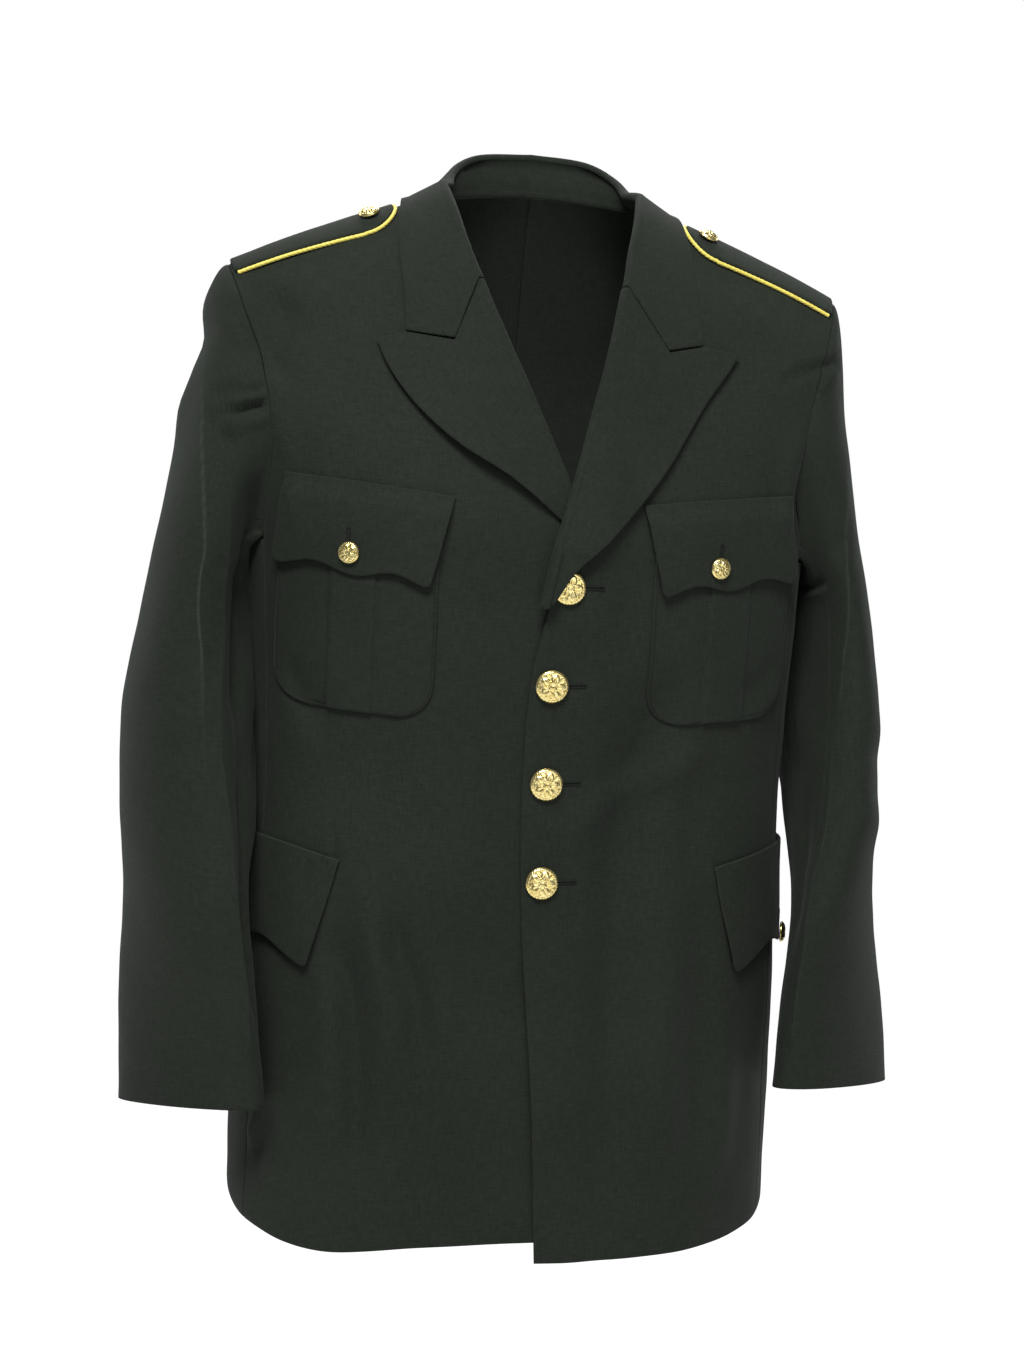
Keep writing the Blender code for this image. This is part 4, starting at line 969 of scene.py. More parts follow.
# A place on the sleeve is how far round it, in degrees from its outermost line, and how high.
SLEEVE_FOLDS = {
    LEFT: table(
        "path width height sharp",
        ([(104, -138), (84, -128), (66, -119), (48, -111), (26, -103)], 4, -5.0),
        ([(86, -142), (72, -134), (56, -127), (38, -118)], 5, 2.4),
        ([(40, -150), (49, -178), (88, -263), (108, -330), (119, -403)], 13, 3.0, 0.5),
        ([(108, -370), (119, -403), (113, -491), (95, -543), (77, -655)], 13, 3.0, 0.4),
        ([(60, -222), (80, -242), (104, -262)], 7, -2.6),
        ([(172, -282), (144, -280), (112, -274)], 3.5, -2.6),
        ([(176, -262), (170, -330), (160, -429), (148, -480)], 7, -2.4),
        ([(180, -250), (176, -300), (168, -360), (160, -430)], 20, 3.4),
        ([(150, -430), (134, -500), (112, -560)], 9, -3.0),
        ([(20, -420), (70, -398), (112, -392)], 12, -2.1),
        ([(10, -470), (50, -450), (96, -440)], 12, 2.1),
        ([(200, -380), (236, -396), (256, -388)], 12, -3.3),
        ([(200, -420), (230, -432), (252, -424)], 10, 2.7),
        ([(-76, -170), (-50, -260), (-46, -360)], 14, 2.4),
    ),
    RIGHT: table(
        "path width height sharp",
        ([(-60, -112), (0, -117), (44, -121)], 15, -4.5),
        ([(-60, -160), (0, -168), (30, -172)], 18, 3.0),
        ([(54, -174), (69, -171), (78, -165), (96, -156)], 3.2, -6.0),
        ([(52, -186), (70, -182), (88, -176)], 5, 2.8),
        ([(42, -166), (49, -175), (59, -183), (71, -192), (84, -204)], 3.5, -3.0),
        ([(44, -156), (56, -158), (67, -158), (80, -154)], 4, -2.4),
        ([(16, -105), (25, -112), (40, -119), (54, -129), (66, -140)], 5, -2.2),
        ([(28, -110), (34, -145), (55, -201), (85, -272), (90, -342), (84, -420)], 11, 3.0, 0.85),
        ([(80, -216), (112, -282), (114, -328), (103, -377), (98, -417)], 9, 3.4, 0.2),
        ([(108, -360), (98, -417), (100, -474), (96, -546), (77, -655)], 9, 3.4, 0.2),
        ([(92, -190), (104, -224), (140, -271), (142, -307), (127, -373), (122, -441)], 10, -7.5),
        ([(128, -390), (122, -441), (118, -500), (106, -560), (96, -630)], 9, -6.0),
        ([(178, -380), (168, -409), (150, -461), (138, -512)], 6, 4.2),
        ([(176, -250), (174, -300), (168, -360), (160, -430)], 20, 4.6),
        ([(40, -420), (80, -408), (108, -400)], 12, -1.8),
        ([(40, -560), (64, -610), (60, -660)], 12, 2.2),
        ([(200, -380), (236, -396), (256, -388)], 12, -3.3),
        ([(196, -424), (230, -436), (252, -428)], 10, 2.7),
        ([(-70, -180), (-54, -270), (-50, -370)], 14, 2.4),
    ),
}
# Slow unevenness: how many waves per metre each way, its phase and its height.
RIPPLES = table(
    "across up phase height",
    (9.0, 4.0, 0.4, 0.30),
    (-6.0, 11.0, 1.9, 0.26),
    (19.0, -8.0, 4.1, 0.13),
    (14.0, 23.0, 2.7, 0.09),
)
ARC = 215.0  # how far round the body one radian of turn goes, roughly
SLEEVE_ARC = 1.1  # and one degree round the sleeve
LAPEL_STAND = {LEFT: 2.5, RIGHT: 5.5}  # how far the lapel's edge springs off the front
FLAP_STAND = 2.0  # and a flap's lower corners off the pocket
CREASE_HALF = 1.1  # half the width of the lighter line along a pressed crease: rubbing and a painted highlight
FREE_EDGES = ("collar", "lapel", "epaulette", "breast_pocket", "breast_flap", "lower_flap")
EDGE_WEAR_AND_HIGHLIGHT = 0.35  # how much rubbing and a painted highlight lighten their edges
ON_BODY = ("front", "side", "back", "breast_pocket", "breast_flap", "lower_flap")
SLEEVE_RIPPLE, LAPEL_RIPPLE, TRIM_RIPPLE = 0.9, 0.5, 0.25  # their shares of the slow unevenness
FOLD_ENDS = 0.3  # the share of its path over which a fold fades at either end
SIDE_DIP = dict(share=0.3, away=1.8)  # how deep and how far off the dip beside a fold is
CREASE_SOFT = 0.004  # how round the top of a pressed crease is
HELD = dict(z=(-550, -522), x=(14, 30), share=0.88)  # where the buttons hold the front edge calm
SLEEVE_CALM = dict(armhole_rows=5, cuff_rows=8, cuff_share=0.7, seam_degrees=16)
BEND_ROWS = (10, 22)  # rows from where a sleeve's head meets its arm that are smoothed
SOFTENINGS = 70  # and how often
ARMHOLE_ROWS = 8  # rows of a sleeve that follow the armhole's edge
LAPEL_SPRING = dict(middle=0.7, half=0.22, end=0.85, from_roll=0.25)
FLAP_SPRING = dict(power=1.2, up_to=0.7)


def off_fold(a, z, fold, scale):
    """How far each place is from a fold's path, with a sign for the side, and how strong it is."""
    path = np.array(fold["path"], float) * [scale, 1]
    run = run_of(path)
    nearest, signed, share = np.inf + 0 * a, 0 * a, 0 * a
    for start, line, before in zip(path, np.diff(path, axis=0), run):
        length = np.linalg.norm(line)
        t = ((a - start[0]) * line[0] + (z - start[1]) * line[1]) / length**2
        held = np.clip(t, 0, 1)
        off = np.hypot(a - start[0] - held * line[0], z - start[1] - held * line[1])
        turned = np.sign((z - start[1]) * line[0] - (a - start[0]) * line[1])
        closer = off < nearest
        nearest = np.where(closer, off, nearest)
        signed = np.where(closer, off * turned, signed)
        share = np.where(closer, (before + held * length) / run[-1], share)
    return signed, ease(0, FOLD_ENDS, share) * (1 - ease(1 - FOLD_ENDS, 1, share))


def fold_height(a, z, fold, scale):
    """One fold: a soft ridge or hollow along its path, with a shallower dip on one side of it."""
    signed, ends = off_fold(a, z, fold, scale)
    off = signed / fold["width"]
    if "sharp" in fold:
        return fold["height"] * ends * np.exp(-np.sqrt(off**2 + CREASE_SOFT))
    dip = SIDE_DIP["share"] * np.exp(-((off - SIDE_DIP["away"]) ** 2))
    return fold["height"] * ends * (np.exp(-(off**2)) - dip)


def ripple_height(a, z, seed):
    total = 0 * a
    for ripple in RIPPLES:
        waves = (a * ripple["across"] + z * ripple["up"]) * MM
        total = total + ripple["height"] * np.sin(2 * np.pi * waves + ripple["phase"] + seed)
    return total


def body_arc(points):
    """How far round the body each point is, from the centre front, in millimetres."""
    turn = turn_at(np.abs(points[..., 0]), points[..., 2])
    return ARC * np.where(points[..., 1] < 0, turn, np.pi - turn)


def body_unevenness(points, side):
    """How far the body's cloth is moved out: its folds, calm where the buttons hold the front."""
    arc, z = body_arc(points), points[..., 2]
    total = ripple_height(arc, z, side)
    for fold in BODY_FOLDS[side]:
        total = total + fold_height(arc, z, fold, 1)
    held = HELD["share"] * ease(*HELD["z"], z) * (1 - ease(*HELD["x"], np.abs(points[..., 0])))
    return total * np.where(points[..., 1] < 0, 1 - held, 1)


def sleeve_unevenness(grid, turns, side):
    """The same on a sleeve, calm at the armhole, at the cuff and along the back seam."""
    around = np.degrees(turns)[None, :] * SLEEVE_ARC + 0 * grid[..., 0]
    z = grid[..., 2]
    total = SLEEVE_RIPPLE * ripple_height(around, z, side + 1.0)
    for fold in SLEEVE_FOLDS[side]:
        total = total + fold_height(around, z, fold, SLEEVE_ARC)
    rows, last = np.arange(len(grid))[:, None], len(grid) - 1
    at_armhole = ease(0, SLEEVE_CALM["armhole_rows"], rows)
    by_cuff = ease(last - SLEEVE_CALM["cuff_rows"], last, rows)
    at_cuff = 1 - SLEEVE_CALM["cuff_share"] * by_cuff
    from_seam = np.degrees(np.minimum(turns - SLEEVE_SEAMS[0], SLEEVE_SEAMS[0] + 2 * np.pi - turns))
    return total * at_armhole * at_cuff * ease(0, SLEEVE_CALM["seam_degrees"], from_seam)


def wear_and_highlight(kind, grid, side):
    """How much rubbing and a painted highlight lighten the cloth at each point, from 0 to 1:
    along the pressed creases of a sleeve.
    """
    worn_and_highlit = 0 * grid[..., 0]
    if kind.startswith("sleeve"):
        around = np.degrees(sleeve_turns(kind))[None, :] * SLEEVE_ARC + worn_and_highlit
        for fold in SLEEVE_FOLDS[side]:
            if "sharp" in fold:
                signed, ends = off_fold(around, grid[..., 2], fold, SLEEVE_ARC)
                line = np.exp(-((signed / CREASE_HALF) ** 2))
                worn_and_highlit = np.maximum(worn_and_highlit, fold["sharp"] * ends * line)
    return worn_and_highlit


def eased_bend(grid):
    """The sleeve without the bend where its head meets the arm: smoothed along its length there."""
    rows = np.arange(len(grid))[:, None, None] - (STEPS["cap"] - 1)
    near = 1 - ease(*BEND_ROWS, np.abs(rows[1:-1]))
    grid = grid.copy()
    for _ in range(SOFTENINGS):
        grid[1:-1] += near * 0.5 * ((grid[:-2] + grid[2:]) / 2 - grid[1:-1])
    return grid


def shares(grid):
    """How far along the rows and the columns each point of a grid is, from 0 to 1."""
    return np.linspace(0, 1, grid.shape[0])[:, None], np.linspace(0, 1, grid.shape[1])


def stand_off(kind, grid, side):
    """How far the free edges of lapels and flaps stand off what they lie on."""
    down, across = shares(grid)
    if kind == "lapel":
        off = (down - LAPEL_SPRING["middle"]) / LAPEL_SPRING["half"]
        springs = np.exp(-(off**2)) * (1 - ease(LAPEL_SPRING["end"], 1, down))
        return LAPEL_STAND[side] * springs * ease(LAPEL_SPRING["from_roll"], 1, across)
    if kind.endswith("flap"):
        at_corners = np.abs(2 * across - 1) ** FLAP_SPRING["power"]
        return FLAP_STAND * at_corners * (1 - ease(0, FLAP_SPRING["up_to"], down))
    return 0 * grid[..., 0]


def with_the_armhole(inner, turns, side):
    """The top of a sleeve moves with the uneven edge of the armhole that it is sewn to."""
    at_seam = body_out(turns) * body_unevenness(inner[0], side)[:, None]
    return at_seam * (1 - ease(0, ARMHOLE_ROWS, np.arange(len(inner))))[:, None, None]


def uneven(kind, side, inner, outer):
    """Both faces of a wall, moved together along its normal."""
    on_sleeve = kind.startswith("sleeve")
    if on_sleeve:
        inner, outer = eased_bend(inner), eased_bend(outer)
    out = unit(outer - inner)
    off = unit(body_slope(inner, FRONT)) if kind == "lapel" else out
    x, z = inner[..., 0], inner[..., 2]
    if kind in ON_BODY:
        moved = body_unevenness(inner, side) * (ease(0, 12, np.abs(x)) if kind == "back" else 1)
    elif on_sleeve:
        moved = sleeve_unevenness(inner, sleeve_turns(kind), side)
    elif kind == "lapel":
        moved = LAPEL_RIPPLE * ripple_height(x, z, side + 2.0)
    else:
        moved = TRIM_RIPPLE * ripple_height(x * 1.5, z * 1.5, side + 3.0)
    shift = out * moved[..., None] + off * stand_off(kind, inner, side)[..., None]
    if on_sleeve:
        shift = shift + with_the_armhole(inner, sleeve_turns(kind), side)
    return inner + shift, outer + shift


# ---- meshes ----
def spans(grid, axis):
    """The distance along the grid from its middle, along rows (axis 1) or columns (axis 0)."""
    steps = np.linalg.norm(np.diff(grid, axis=axis), axis=-1)
    first = np.zeros_like(np.take(steps, [0], axis=axis))
    run = np.concatenate([first, np.cumsum(steps, axis=axis)], axis=axis)
    middle = np.take(run, [grid.shape[axis] // 2], axis=axis)
    return run - middle


def rim_of(rows, columns):
    """The places of a grid's rim, one after another."""
    rim = [(0, j) for j in range(columns)]
    rim += [(i, columns - 1) for i in range(1, rows)]
    rim += [(rows - 1, j) for j in range(columns - 2, -1, -1)]
    return rim + [(i, 0) for i in range(rows - 2, 0, -1)]


def inward(grid):
    """At each rim point, the way from the edge into the cloth, and how far the next points are."""
    rows, columns = grid.shape[:2]
    ways, room = [], []
    for i, j in rim_of(rows, columns):
        across = grid[i, 1] - grid[i, 0] if j == 0 else grid[i, j - 1] - grid[i, j]
        up = grid[1, j] - grid[0, j] if i == 0 else grid[i - 1, j] - grid[i, j]
        on_side, on_end = j in (0, columns - 1), i in (0, rows - 1)
        ways.append(on_side * unit(across) + on_end * unit(up))
        room.append(min(np.linalg.norm(across), np.linalg.norm(up)))
    return np.array(ways), np.array(room)[:, None]


def loops_of(count, size, start=0):
    """The point numbers of closed loops that follow each other."""
    return [list(range(start + i * size, start + (i + 1) * size)) for i in range(count)]


def banded(loops):
    """The faces between closed loops of point numbers, one after another."""
    faces = []
    for low, high in zip(loops, loops[1:]):
        faces += zip(low, low[1:] + low[:1], high[1:] + high[:1], high)
    return faces


def grid_faces(rows, columns, start, flip):
    corner = (start + np.arange(rows - 1)[:, None] * columns + np.arange(columns - 1)).ravel()
    quads = np.stack([corner, corner + 1, corner + columns + 1, corner + columns], axis=1)
    return (quads[:, ::-1] if flip else quads).tolist()


ROUND_RING = 0.72  # how far from a wall's middle to its face the rings of its round edge lie
ROOM_SHARE = 0.45  # a round edge takes at most this share of the way to the next points


def rounded_shell(inner, outer, roundness, worn_and_highlit, edge_wear_and_highlight):
    """A closed wall with a round edge, between two grids: points, faces, weave places, and how much
    rubbing and a painted highlight lighten each point.
    """
    rows, columns = inner.shape[:2]
    count = rows * columns
    middle = (inner + outer) / 2
    ways, room = inward(middle)
    index = np.array([i * columns + j for i, j in rim_of(rows, columns)])
    faces_of_wall = [inner.reshape(-1, 3).copy(), outer.reshape(-1, 3).copy()]
    edges = [flat[index].copy() for flat in faces_of_wall]
    edge = middle.reshape(-1, 3)[index]
    half = np.linalg.norm(edges[1] - edges[0], axis=1, keepdims=True) / 2
    inset = ways * np.minimum(half * roundness, room * ROOM_SHARE)
    for flat in faces_of_wall:
        flat[index] += inset
    rings = [blend(edge, side, ROUND_RING) + inset * (1 - ROUND_RING) for side in edges]
    points = np.concatenate(faces_of_wall + [rings[0], edge, rings[1]])
    faces = grid_faces(rows, columns, 0, True) + grid_faces(rows, columns, count, False)
    loops = loops_of(3, len(index), 2 * count)
    faces += banded([index.tolist()] + loops + [(index + count).tolist()])
    weave = np.stack([spans(middle, 1), spans(middle, 0)], axis=-1).reshape(-1, 2)
    weave = np.concatenate([weave, weave] + [weave[index]] * 3)
    # the rim is lightened at least as much as the edge: rubbing and a painted highlight
    worn_and_highlit = worn_and_highlit.ravel()
    worn_and_highlit = np.concatenate([worn_and_highlit, worn_and_highlit] + [np.maximum(worn_and_highlit[index], edge_wear_and_highlight)] * 3)
    return points, faces, weave, worn_and_highlit


def tube(path, size_at, sides, upright):
    """A closed tube along a path; size_at gives its radius along the path for a turn round it."""
    along = unit(np.gradient(path, axis=0))
    level = unit(np.cross(along, np.array(upright)))
    over = np.cross(level, along)
    lines = [
        path + size_at(a)[:, None] * (level * np.cos(a) + over * np.sin(a))
        for a in np.linspace(0, 2 * np.pi, sides, endpoint=False)
    ]
    loops = loops_of(len(path), sides)
    return np.stack(lines, axis=1).reshape(-1, 3), [loops[0], loops[-1]] + banded(loops)


def rope_mesh(path, radius, sides, plies, pitch, depth, spacing):
    """A twisted cord along a path, closed at both ends."""
    run = run_of(path)
    at = np.linspace(0, run[-1], int(run[-1] / spacing) + 2)

    def size_at(turn):
        lobes = np.abs(np.sin((plies * turn - 2 * np.pi * at / pitch) / 2))
        return radius * (1 - depth + depth * lobes)

    return tube(along_path(at, run, path), size_at, sides, (0, 0, 1.0))


def add_piece(name, points, faces, finish, weave=None, worn_and_highlit=None):
    """A piece that rides on the jacket; weave holds the cloth's own coordinates in millimetres."""
    mesh = bpy.data.meshes.new(name)
    mesh.from_pydata((np.asarray(points) * MM).tolist(), [], faces)
    shape = bmesh.new()
    shape.from_mesh(mesh)
    bmesh.ops.recalc_face_normals(shape, faces=shape.faces)
    shape.to_mesh(mesh)
    shape.free()
    if weave is not None:
        layer = mesh.uv_layers.new(name="weave")
        corners = np.empty(len(mesh.loops), dtype=np.int32)
        mesh.loops.foreach_get("vertex_index", corners)
        layer.data.foreach_set("uv", (np.asarray(weave)[corners] * MM).ravel().astype(np.float32))
        # how much rubbing and a painted highlight lighten each point
        shades = mesh.attributes.new("wear_and_highlight", "FLOAT", "POINT")
        shades.data.foreach_set("value", worn_and_highlit.astype(np.float32))
    mesh.shade_smooth()
    mesh.materials.append(finish)
    made = bpy.data.objects.new(name, mesh)
    bpy.context.scene.collection.objects.link(made)
    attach(made, "root")
    return made


# ---- materials ----
def new_material(name, colour, roughness, **inputs):
    """A material with one shader; inputs are the shader's other values, _ standing for a space."""
    made = bpy.data.materials.new(name)
    made.use_nodes = True
    shader = made.node_tree.nodes["Principled BSDF"]
    shader.inputs["Base Color"].default_value = (*colour, 1)
    shader.inputs["Roughness"].default_value = roughness
    for key, value in inputs.items():
        shader.inputs[key.replace("_", " ")].default_value = value
    return made, made.node_tree, shader


def add_node(tree, kind, **settings):
    node = tree.nodes.new(kind)
    for key, value in settings.items():
        if key in node.inputs.keys():
            node.inputs[key].default_value = value
        else:
            setattr(node, key, value)
    return node


def link(tree, source, output, target, socket):
    tree.links.new(source.outputs[output], target.inputs[socket])


def math_node(tree, operation, first, second):
    node = add_node(tree, "ShaderNodeMath", operation=operation)
    for place, value in enumerate((first, second)):
        if isinstance(value, (int, float)):
            node.inputs[place].default_value = value
        else:
            tree.links.new(value, node.inputs[place])
    return node.outputs[0]


def total(tree, first, *others):
    for value in others:
        first = math_node(tree, "ADD", first, value)
    return first


def times(tree, value, factor):
    return math_node(tree, "MULTIPLY", value, factor)


def noise(tree, place, output, **settings):
    """Noise laid out by one of a node's coordinates."""
    made = add_node(tree, "ShaderNodeTexNoise", **settings)
    link(tree, place, output, made, "Vector")
    return made.outputs[0]


def streaks(tree, weave, across, along):
    """Noise drawn out along one way of the weave, with this many streaks a metre each way."""
    stretch = add_node(tree, "ShaderNodeMapping", Scale=(across, along, 1))
    link(tree, weave, "UV", stretch, "Vector")
    return noise(tree, stretch, "Vector", Scale=1.0, Detail=2.0)


def set_colour(tree, shader, shade, *stops):
    """The shader's colour follows a shade, through the colours of these stops."""
    ramp = add_node(tree, "ShaderNodeValToRGB")
    elements = ramp.color_ramp.elements
    for place, (position, colour) in enumerate(stops):
        element = elements[place] if place < 2 else elements.new(position)
        element.position = position
        element.color = (*colour, 1)
    tree.links.new(shade, ramp.inputs["Fac"])
    link(tree, ramp, "Color", shader, "Base Color")


def set_relief(tree, shader, height, strength, distance):
    bump = add_node(tree, "ShaderNodeBump", Strength=strength, Distance=distance)
    tree.links.new(height, bump.inputs["Height"])
    link(tree, bump, "Normal", shader, "Normal")


def twill_material():
    """Near-black wool: a fine diagonal weave, uneven yarns and a slightly clouded colour."""
    made, tree, shader = new_material(
        "uniform_cloth_look", (0.015, 0.018, 0.0145), 0.86, Sheen_Weight=0.05, Sheen_Roughness=0.4,
        Sheen_Tint=(0.80, 0.88, 0.80, 1), Specular_IOR_Level=0.14,
    )
    weave = add_node(tree, "ShaderNodeUVMap", uv_map="weave")
    place = add_node(tree, "ShaderNodeTexCoord")
    ways = add_node(tree, "ShaderNodeSeparateXYZ")
    link(tree, weave, "UV", ways, "Vector")
    diagonal = total(tree, ways.outputs["X"], ways.outputs["Y"])
    yarns = noise(tree, weave, "UV", Scale=1300.0, Detail=3.0, Roughness=0.6)
    twill = math_node(tree, "SINE", total(tree, times(tree, diagonal, 5200.0), yarns), 0.0)
    grain = total(tree, streaks(tree, weave, 1100, 90), streaks(tree, weave, 90, 1100), -1.0)
    set_relief(tree, shader, total(tree, times(tree, twill, 0.35), yarns, grain), 0.4, 0.0004)

    cloud = noise(tree, place, "Object", Scale=7.0, Detail=5.0, Roughness=0.55)
    slubs = noise(tree, weave, "UV", Scale=260.0, Detail=2.0)
    patchy = times(tree, total(tree, slubs, -0.5), 0.30)
    mottled = total(tree, times(tree, cloud, 0.45), patchy)
    threads = times(tree, total(tree, times(tree, twill, 0.10), yarns), 0.55)
    # lighter along the sleeves' creases and the free edges: rubbing and a painted highlight
    worn_and_highlit = add_node(tree, "ShaderNodeAttribute", attribute_name="wear_and_highlight").outputs["Fac"]
    shade = total(tree, mottled, threads, times(tree, grain, 0.5), times(tree, worn_and_highlit, 0.7))
    # the last stop is the colour of the painted highlight and the rubbing
    dark, light, highlit_worn = (0.0104, 0.0133, 0.0096), (0.0194, 0.0241, 0.0178), (0.029, 0.036, 0.026)
    set_colour(tree, shader, shade, (0.3, dark), (0.7, light), (1.0, highlit_worn))
    return made


def mottled_material(name, colour, roughness, grain, stops, relief, shine=None, **inputs):
    """An uneven material; grain is its noise, and shine its roughness where the noise is 0 and 1."""
    made, tree, shader = new_material(name, colour, roughness, **inputs)
    shade = noise(tree, add_node(tree, "ShaderNodeTexCoord"), "Object", **grain)
    set_colour(tree, shader, shade, *stops)
    set_relief(tree, shader, shade, relief, 0.0002)
    if shine:
        rough = add_node(tree, "ShaderNodeMapRange", **{"To Min": shine[0], "To Max": shine[1]})
        tree.links.new(shade, rough.inputs["Value"])
        link(tree, rough, "Result", shader, "Roughness")
    return made


TWILL = twill_material()
# Bright yellow braid, darker between its plies.
CORD = mottled_material(
    "gold_piping_look", (0.72, 0.58, 0.06), 0.5, dict(Scale=900.0, Detail=3.0),
    [(0.3, (0.62, 0.49, 0.05)), (0.65, (0.92, 0.80, 0.16))], 0.5, Sheen_Weight=0.2,
)
# Polished gilt, rubbed brighter in places and duller in others.
GILT = mottled_material(
    "gilt_button_look", (0.92, 0.66, 0.20), 0.24, dict(Scale=420.0, Detail=5.0),
    [(0.35, (0.74, 0.56, 0.18)), (0.6, (1.0, 0.86, 0.40))], 0.2, shine=(0.12, 0.34), Metallic=1.0,
)
# Black sewing thread, darker than the cloth.
THREAD = mottled_material(
    "uniform_thread_look", (0.009, 0.011, 0.009), 0.7, dict(Scale=2500.0, Detail=2.0),
    [(0.0, (0.005, 0.006, 0.005)), (1.0, (0.013, 0.016, 0.012))], 0.6, Specular_IOR_Level=0.12,
)


EDGE_ROUNDNESS = 0.9  # how far round a wall's edge is, as a share of half its thickness
FOLDED_ROUNDNESS = 0.45  # and the collar's and the lapels'


def make_cloth():
    for name, side, (inner, outer) in cloth_pieces():
        kind, tag = (name[:-2], name[-2:]) if name[-2:] in ("_L", "_R") else (name, "")
        inner, outer = uneven(kind, side, inner, outer)
        roundness = FOLDED_ROUNDNESS if kind in ("collar", "lapel") else EDGE_ROUNDNESS
        # each point's lightening by rubbing and a painted highlight goes with the wall
        points, faces, weave, worn_and_highlit = rounded_shell(
            mirrored(inner, side), mirrored(outer, side), roundness,
            wear_and_highlight(kind, inner, side), EDGE_WEAR_AND_HIGHLIGHT * (kind in FREE_EDGES),
        )
        piece = add_piece(name + "_cloth", points, faces, TWILL, weave, worn_and_highlit)
        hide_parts(name)


# ---- piping ----
PIPING_CORD = dict(radius=PIPING_RADIUS, sides=14, plies=3, pitch=3.6, depth=0.22, spacing=0.5)


def make_piping():
    for tag, side in SIDES.items():
        points, faces = rope_mesh(piping_path(side)[1:-1], **PIPING_CORD)
        piece = add_piece(f"piping_{tag}_cord", mirrored(points, side), faces, CORD)
        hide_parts(f"piping_{tag}")


# ---- buttons ----
BUTTON_SIDES = 120
PETALS = 5
ROPE_TURNS = 30
# The button's edge from its back, as shares of its radius and its height.
BUTTON_EDGE = [
    (0.5, 0.0), (0.8, 0.02), (0.92, 0.07), (0.985, 0.16), (1.0, 0.27), (0.995, 0.36), (0.97, 0.43)
]
SMOOTH_EDGE = 5  # so many of them are plain; the rest are roped
BUTTON_TOP = 0.92  # the height of its middle


def ridge(r, middle, half):
    return np.exp(-(((r - middle) / half) ** 2))


def button_relief(r, turn):
    """The height inside the rim: a dome, a roped ring, a rosette of petals, beads and a boss."""
    dome = 0.42 + 0.40 * np.sqrt(np.maximum(1 - (r / 0.96) ** 2, 0))
    rope = 0.055 * ridge(r, 0.86, 0.05) * (1 + 0.5 * np.cos(ROPE_TURNS * turn + 40 * r))
    petal_end = 0.30 + 0.38 * (np.cos(PETALS * turn) * 0.5 + 0.5) ** 0.6
    petal = 0.13 * ridge(np.maximum(r, petal_end), petal_end, 0.06) * ease(0.1, 0.3, r)
    vein = 0.03 * np.cos(2 * PETALS * turn) * ridge(r, 0.42, 0.16)
    boss = 0.10 * np.exp(-((r / 0.15) ** 4))
    beads = 0.05 * ridge(r, 0.72, 0.05) * np.maximum(np.cos(3 * PETALS * turn), 0)
    return dome + rope + petal - vein + boss + beads


def button_mesh(radius, height):
    """A domed button with a roped rim and a plain rosette, as high as the part's own."""
    turn = np.linspace(0, 2 * np.pi, BUTTON_SIDES, endpoint=False)
    edge_r, edge_z = np.array(BUTTON_EDGE).T[..., None]
    roped = np.arange(len(edge_r))[:, None] >= SMOOTH_EDGE
    top_r = np.linspace(0.94, 0.02, 34)[:, None]
    r = np.concatenate([edge_r, top_r])
    z = np.concatenate([edge_z + 0.025 * np.cos(ROPE_TURNS * turn) * roped, button_relief(top_r, turn)])
    rings = points_of(radius * r * np.cos(turn), radius * r * np.sin(turn), height * z)
    points = np.concatenate([[(0, 0, 0)], rings.reshape(-1, 3), [(0, 0, height * BUTTON_TOP)]])
    loops = loops_of(len(r), BUTTON_SIDES, 1)
    first, last, top = loops[0], loops[-1], len(points) - 1
    faces = [(0, b, a) for a, b in zip(first, first[1:] + first[:1])] + banded(loops)
    return points, faces + [(a, b, top) for a, b in zip(last, last[1:] + last[:1])]


def set_button(name, side, size, spot, face, lift, upright):
    """Sets a button on the body's surface, its back at the given lift."""
    points, faces = button_mesh(**size)
    out = unit(body_slope(spot, face))[0]
    across = unit(np.cross(np.array(upright), out))
    placed = spot[0] + out * lift + points @ np.stack([across, np.cross(out, across), out])
    piece = add_piece(name + "_gilt", mirrored(placed, side), faces, GILT)
    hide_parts(name)


def front_button(name, side, size, place, lift):
    spot = on_body(np.array([place["x"]]), np.array([float(place["z"])]), FRONT)
    set_button(name, side, size, spot, FRONT, lift, (0, 0, 1.0))


def strap_button(name, side):
    strap = STRAPS[side]
    x = np.array([strap["tip_x"] + strap["button_in"]])
    spot, face = over_shoulder(x, strap_y(strap, x) - strap["forward"])
    set_button(name, side, SMALL_BUTTON, spot, face, STRAP_BUTTON_LOW, (0, 1.0, 0))


def make_buttons():
    for number, place in enumerate(FRONT_BUTTONS, 1):
        lift = overlap_lift(place["x"], place["z"] + FRONT_BUTTON["radius"]) + CLOTH + LAY
        front_button(f"front_button_{number}", LEFT, FRONT_BUTTON, place, lift)
    on_flap = FLAP_LOW + FLAP_THICK + LAY
    on_lower = LOWER_FLAP_LOW + LOWER_FLAP_STAND + FLAP_THICK + LAY
    for tag, side in SIDES.items():
        front_button(f"breast_button_{tag}", side, SMALL_BUTTON, BREAST_BUTTON[side], on_flap)
        front_button(f"lower_button_{tag}", side, SMALL_BUTTON, LOWER_BUTTON, on_lower)
        strap_button(f"epaulette_button_{tag}", side)


# ---- buttonholes and stitches ----
STITCH = dict(length=2.6, gap=0.8, radius=0.28)
HOLE_HALF_WIDTH = 0.95
HOLE_THREAD = dict(radius=0.62, sides=10, plies=1, pitch=1.1, depth=0.25, spacing=0.22)
FRONT_HOLE = dict(inward=3, outward=24)
FLAP_HOLE = dict(below=3, above=16)
POCKET_SEAM_INSET = 2.0
POCKET_SEAM_TOP = POCKET["top"] - 40  # the flap covers what is above


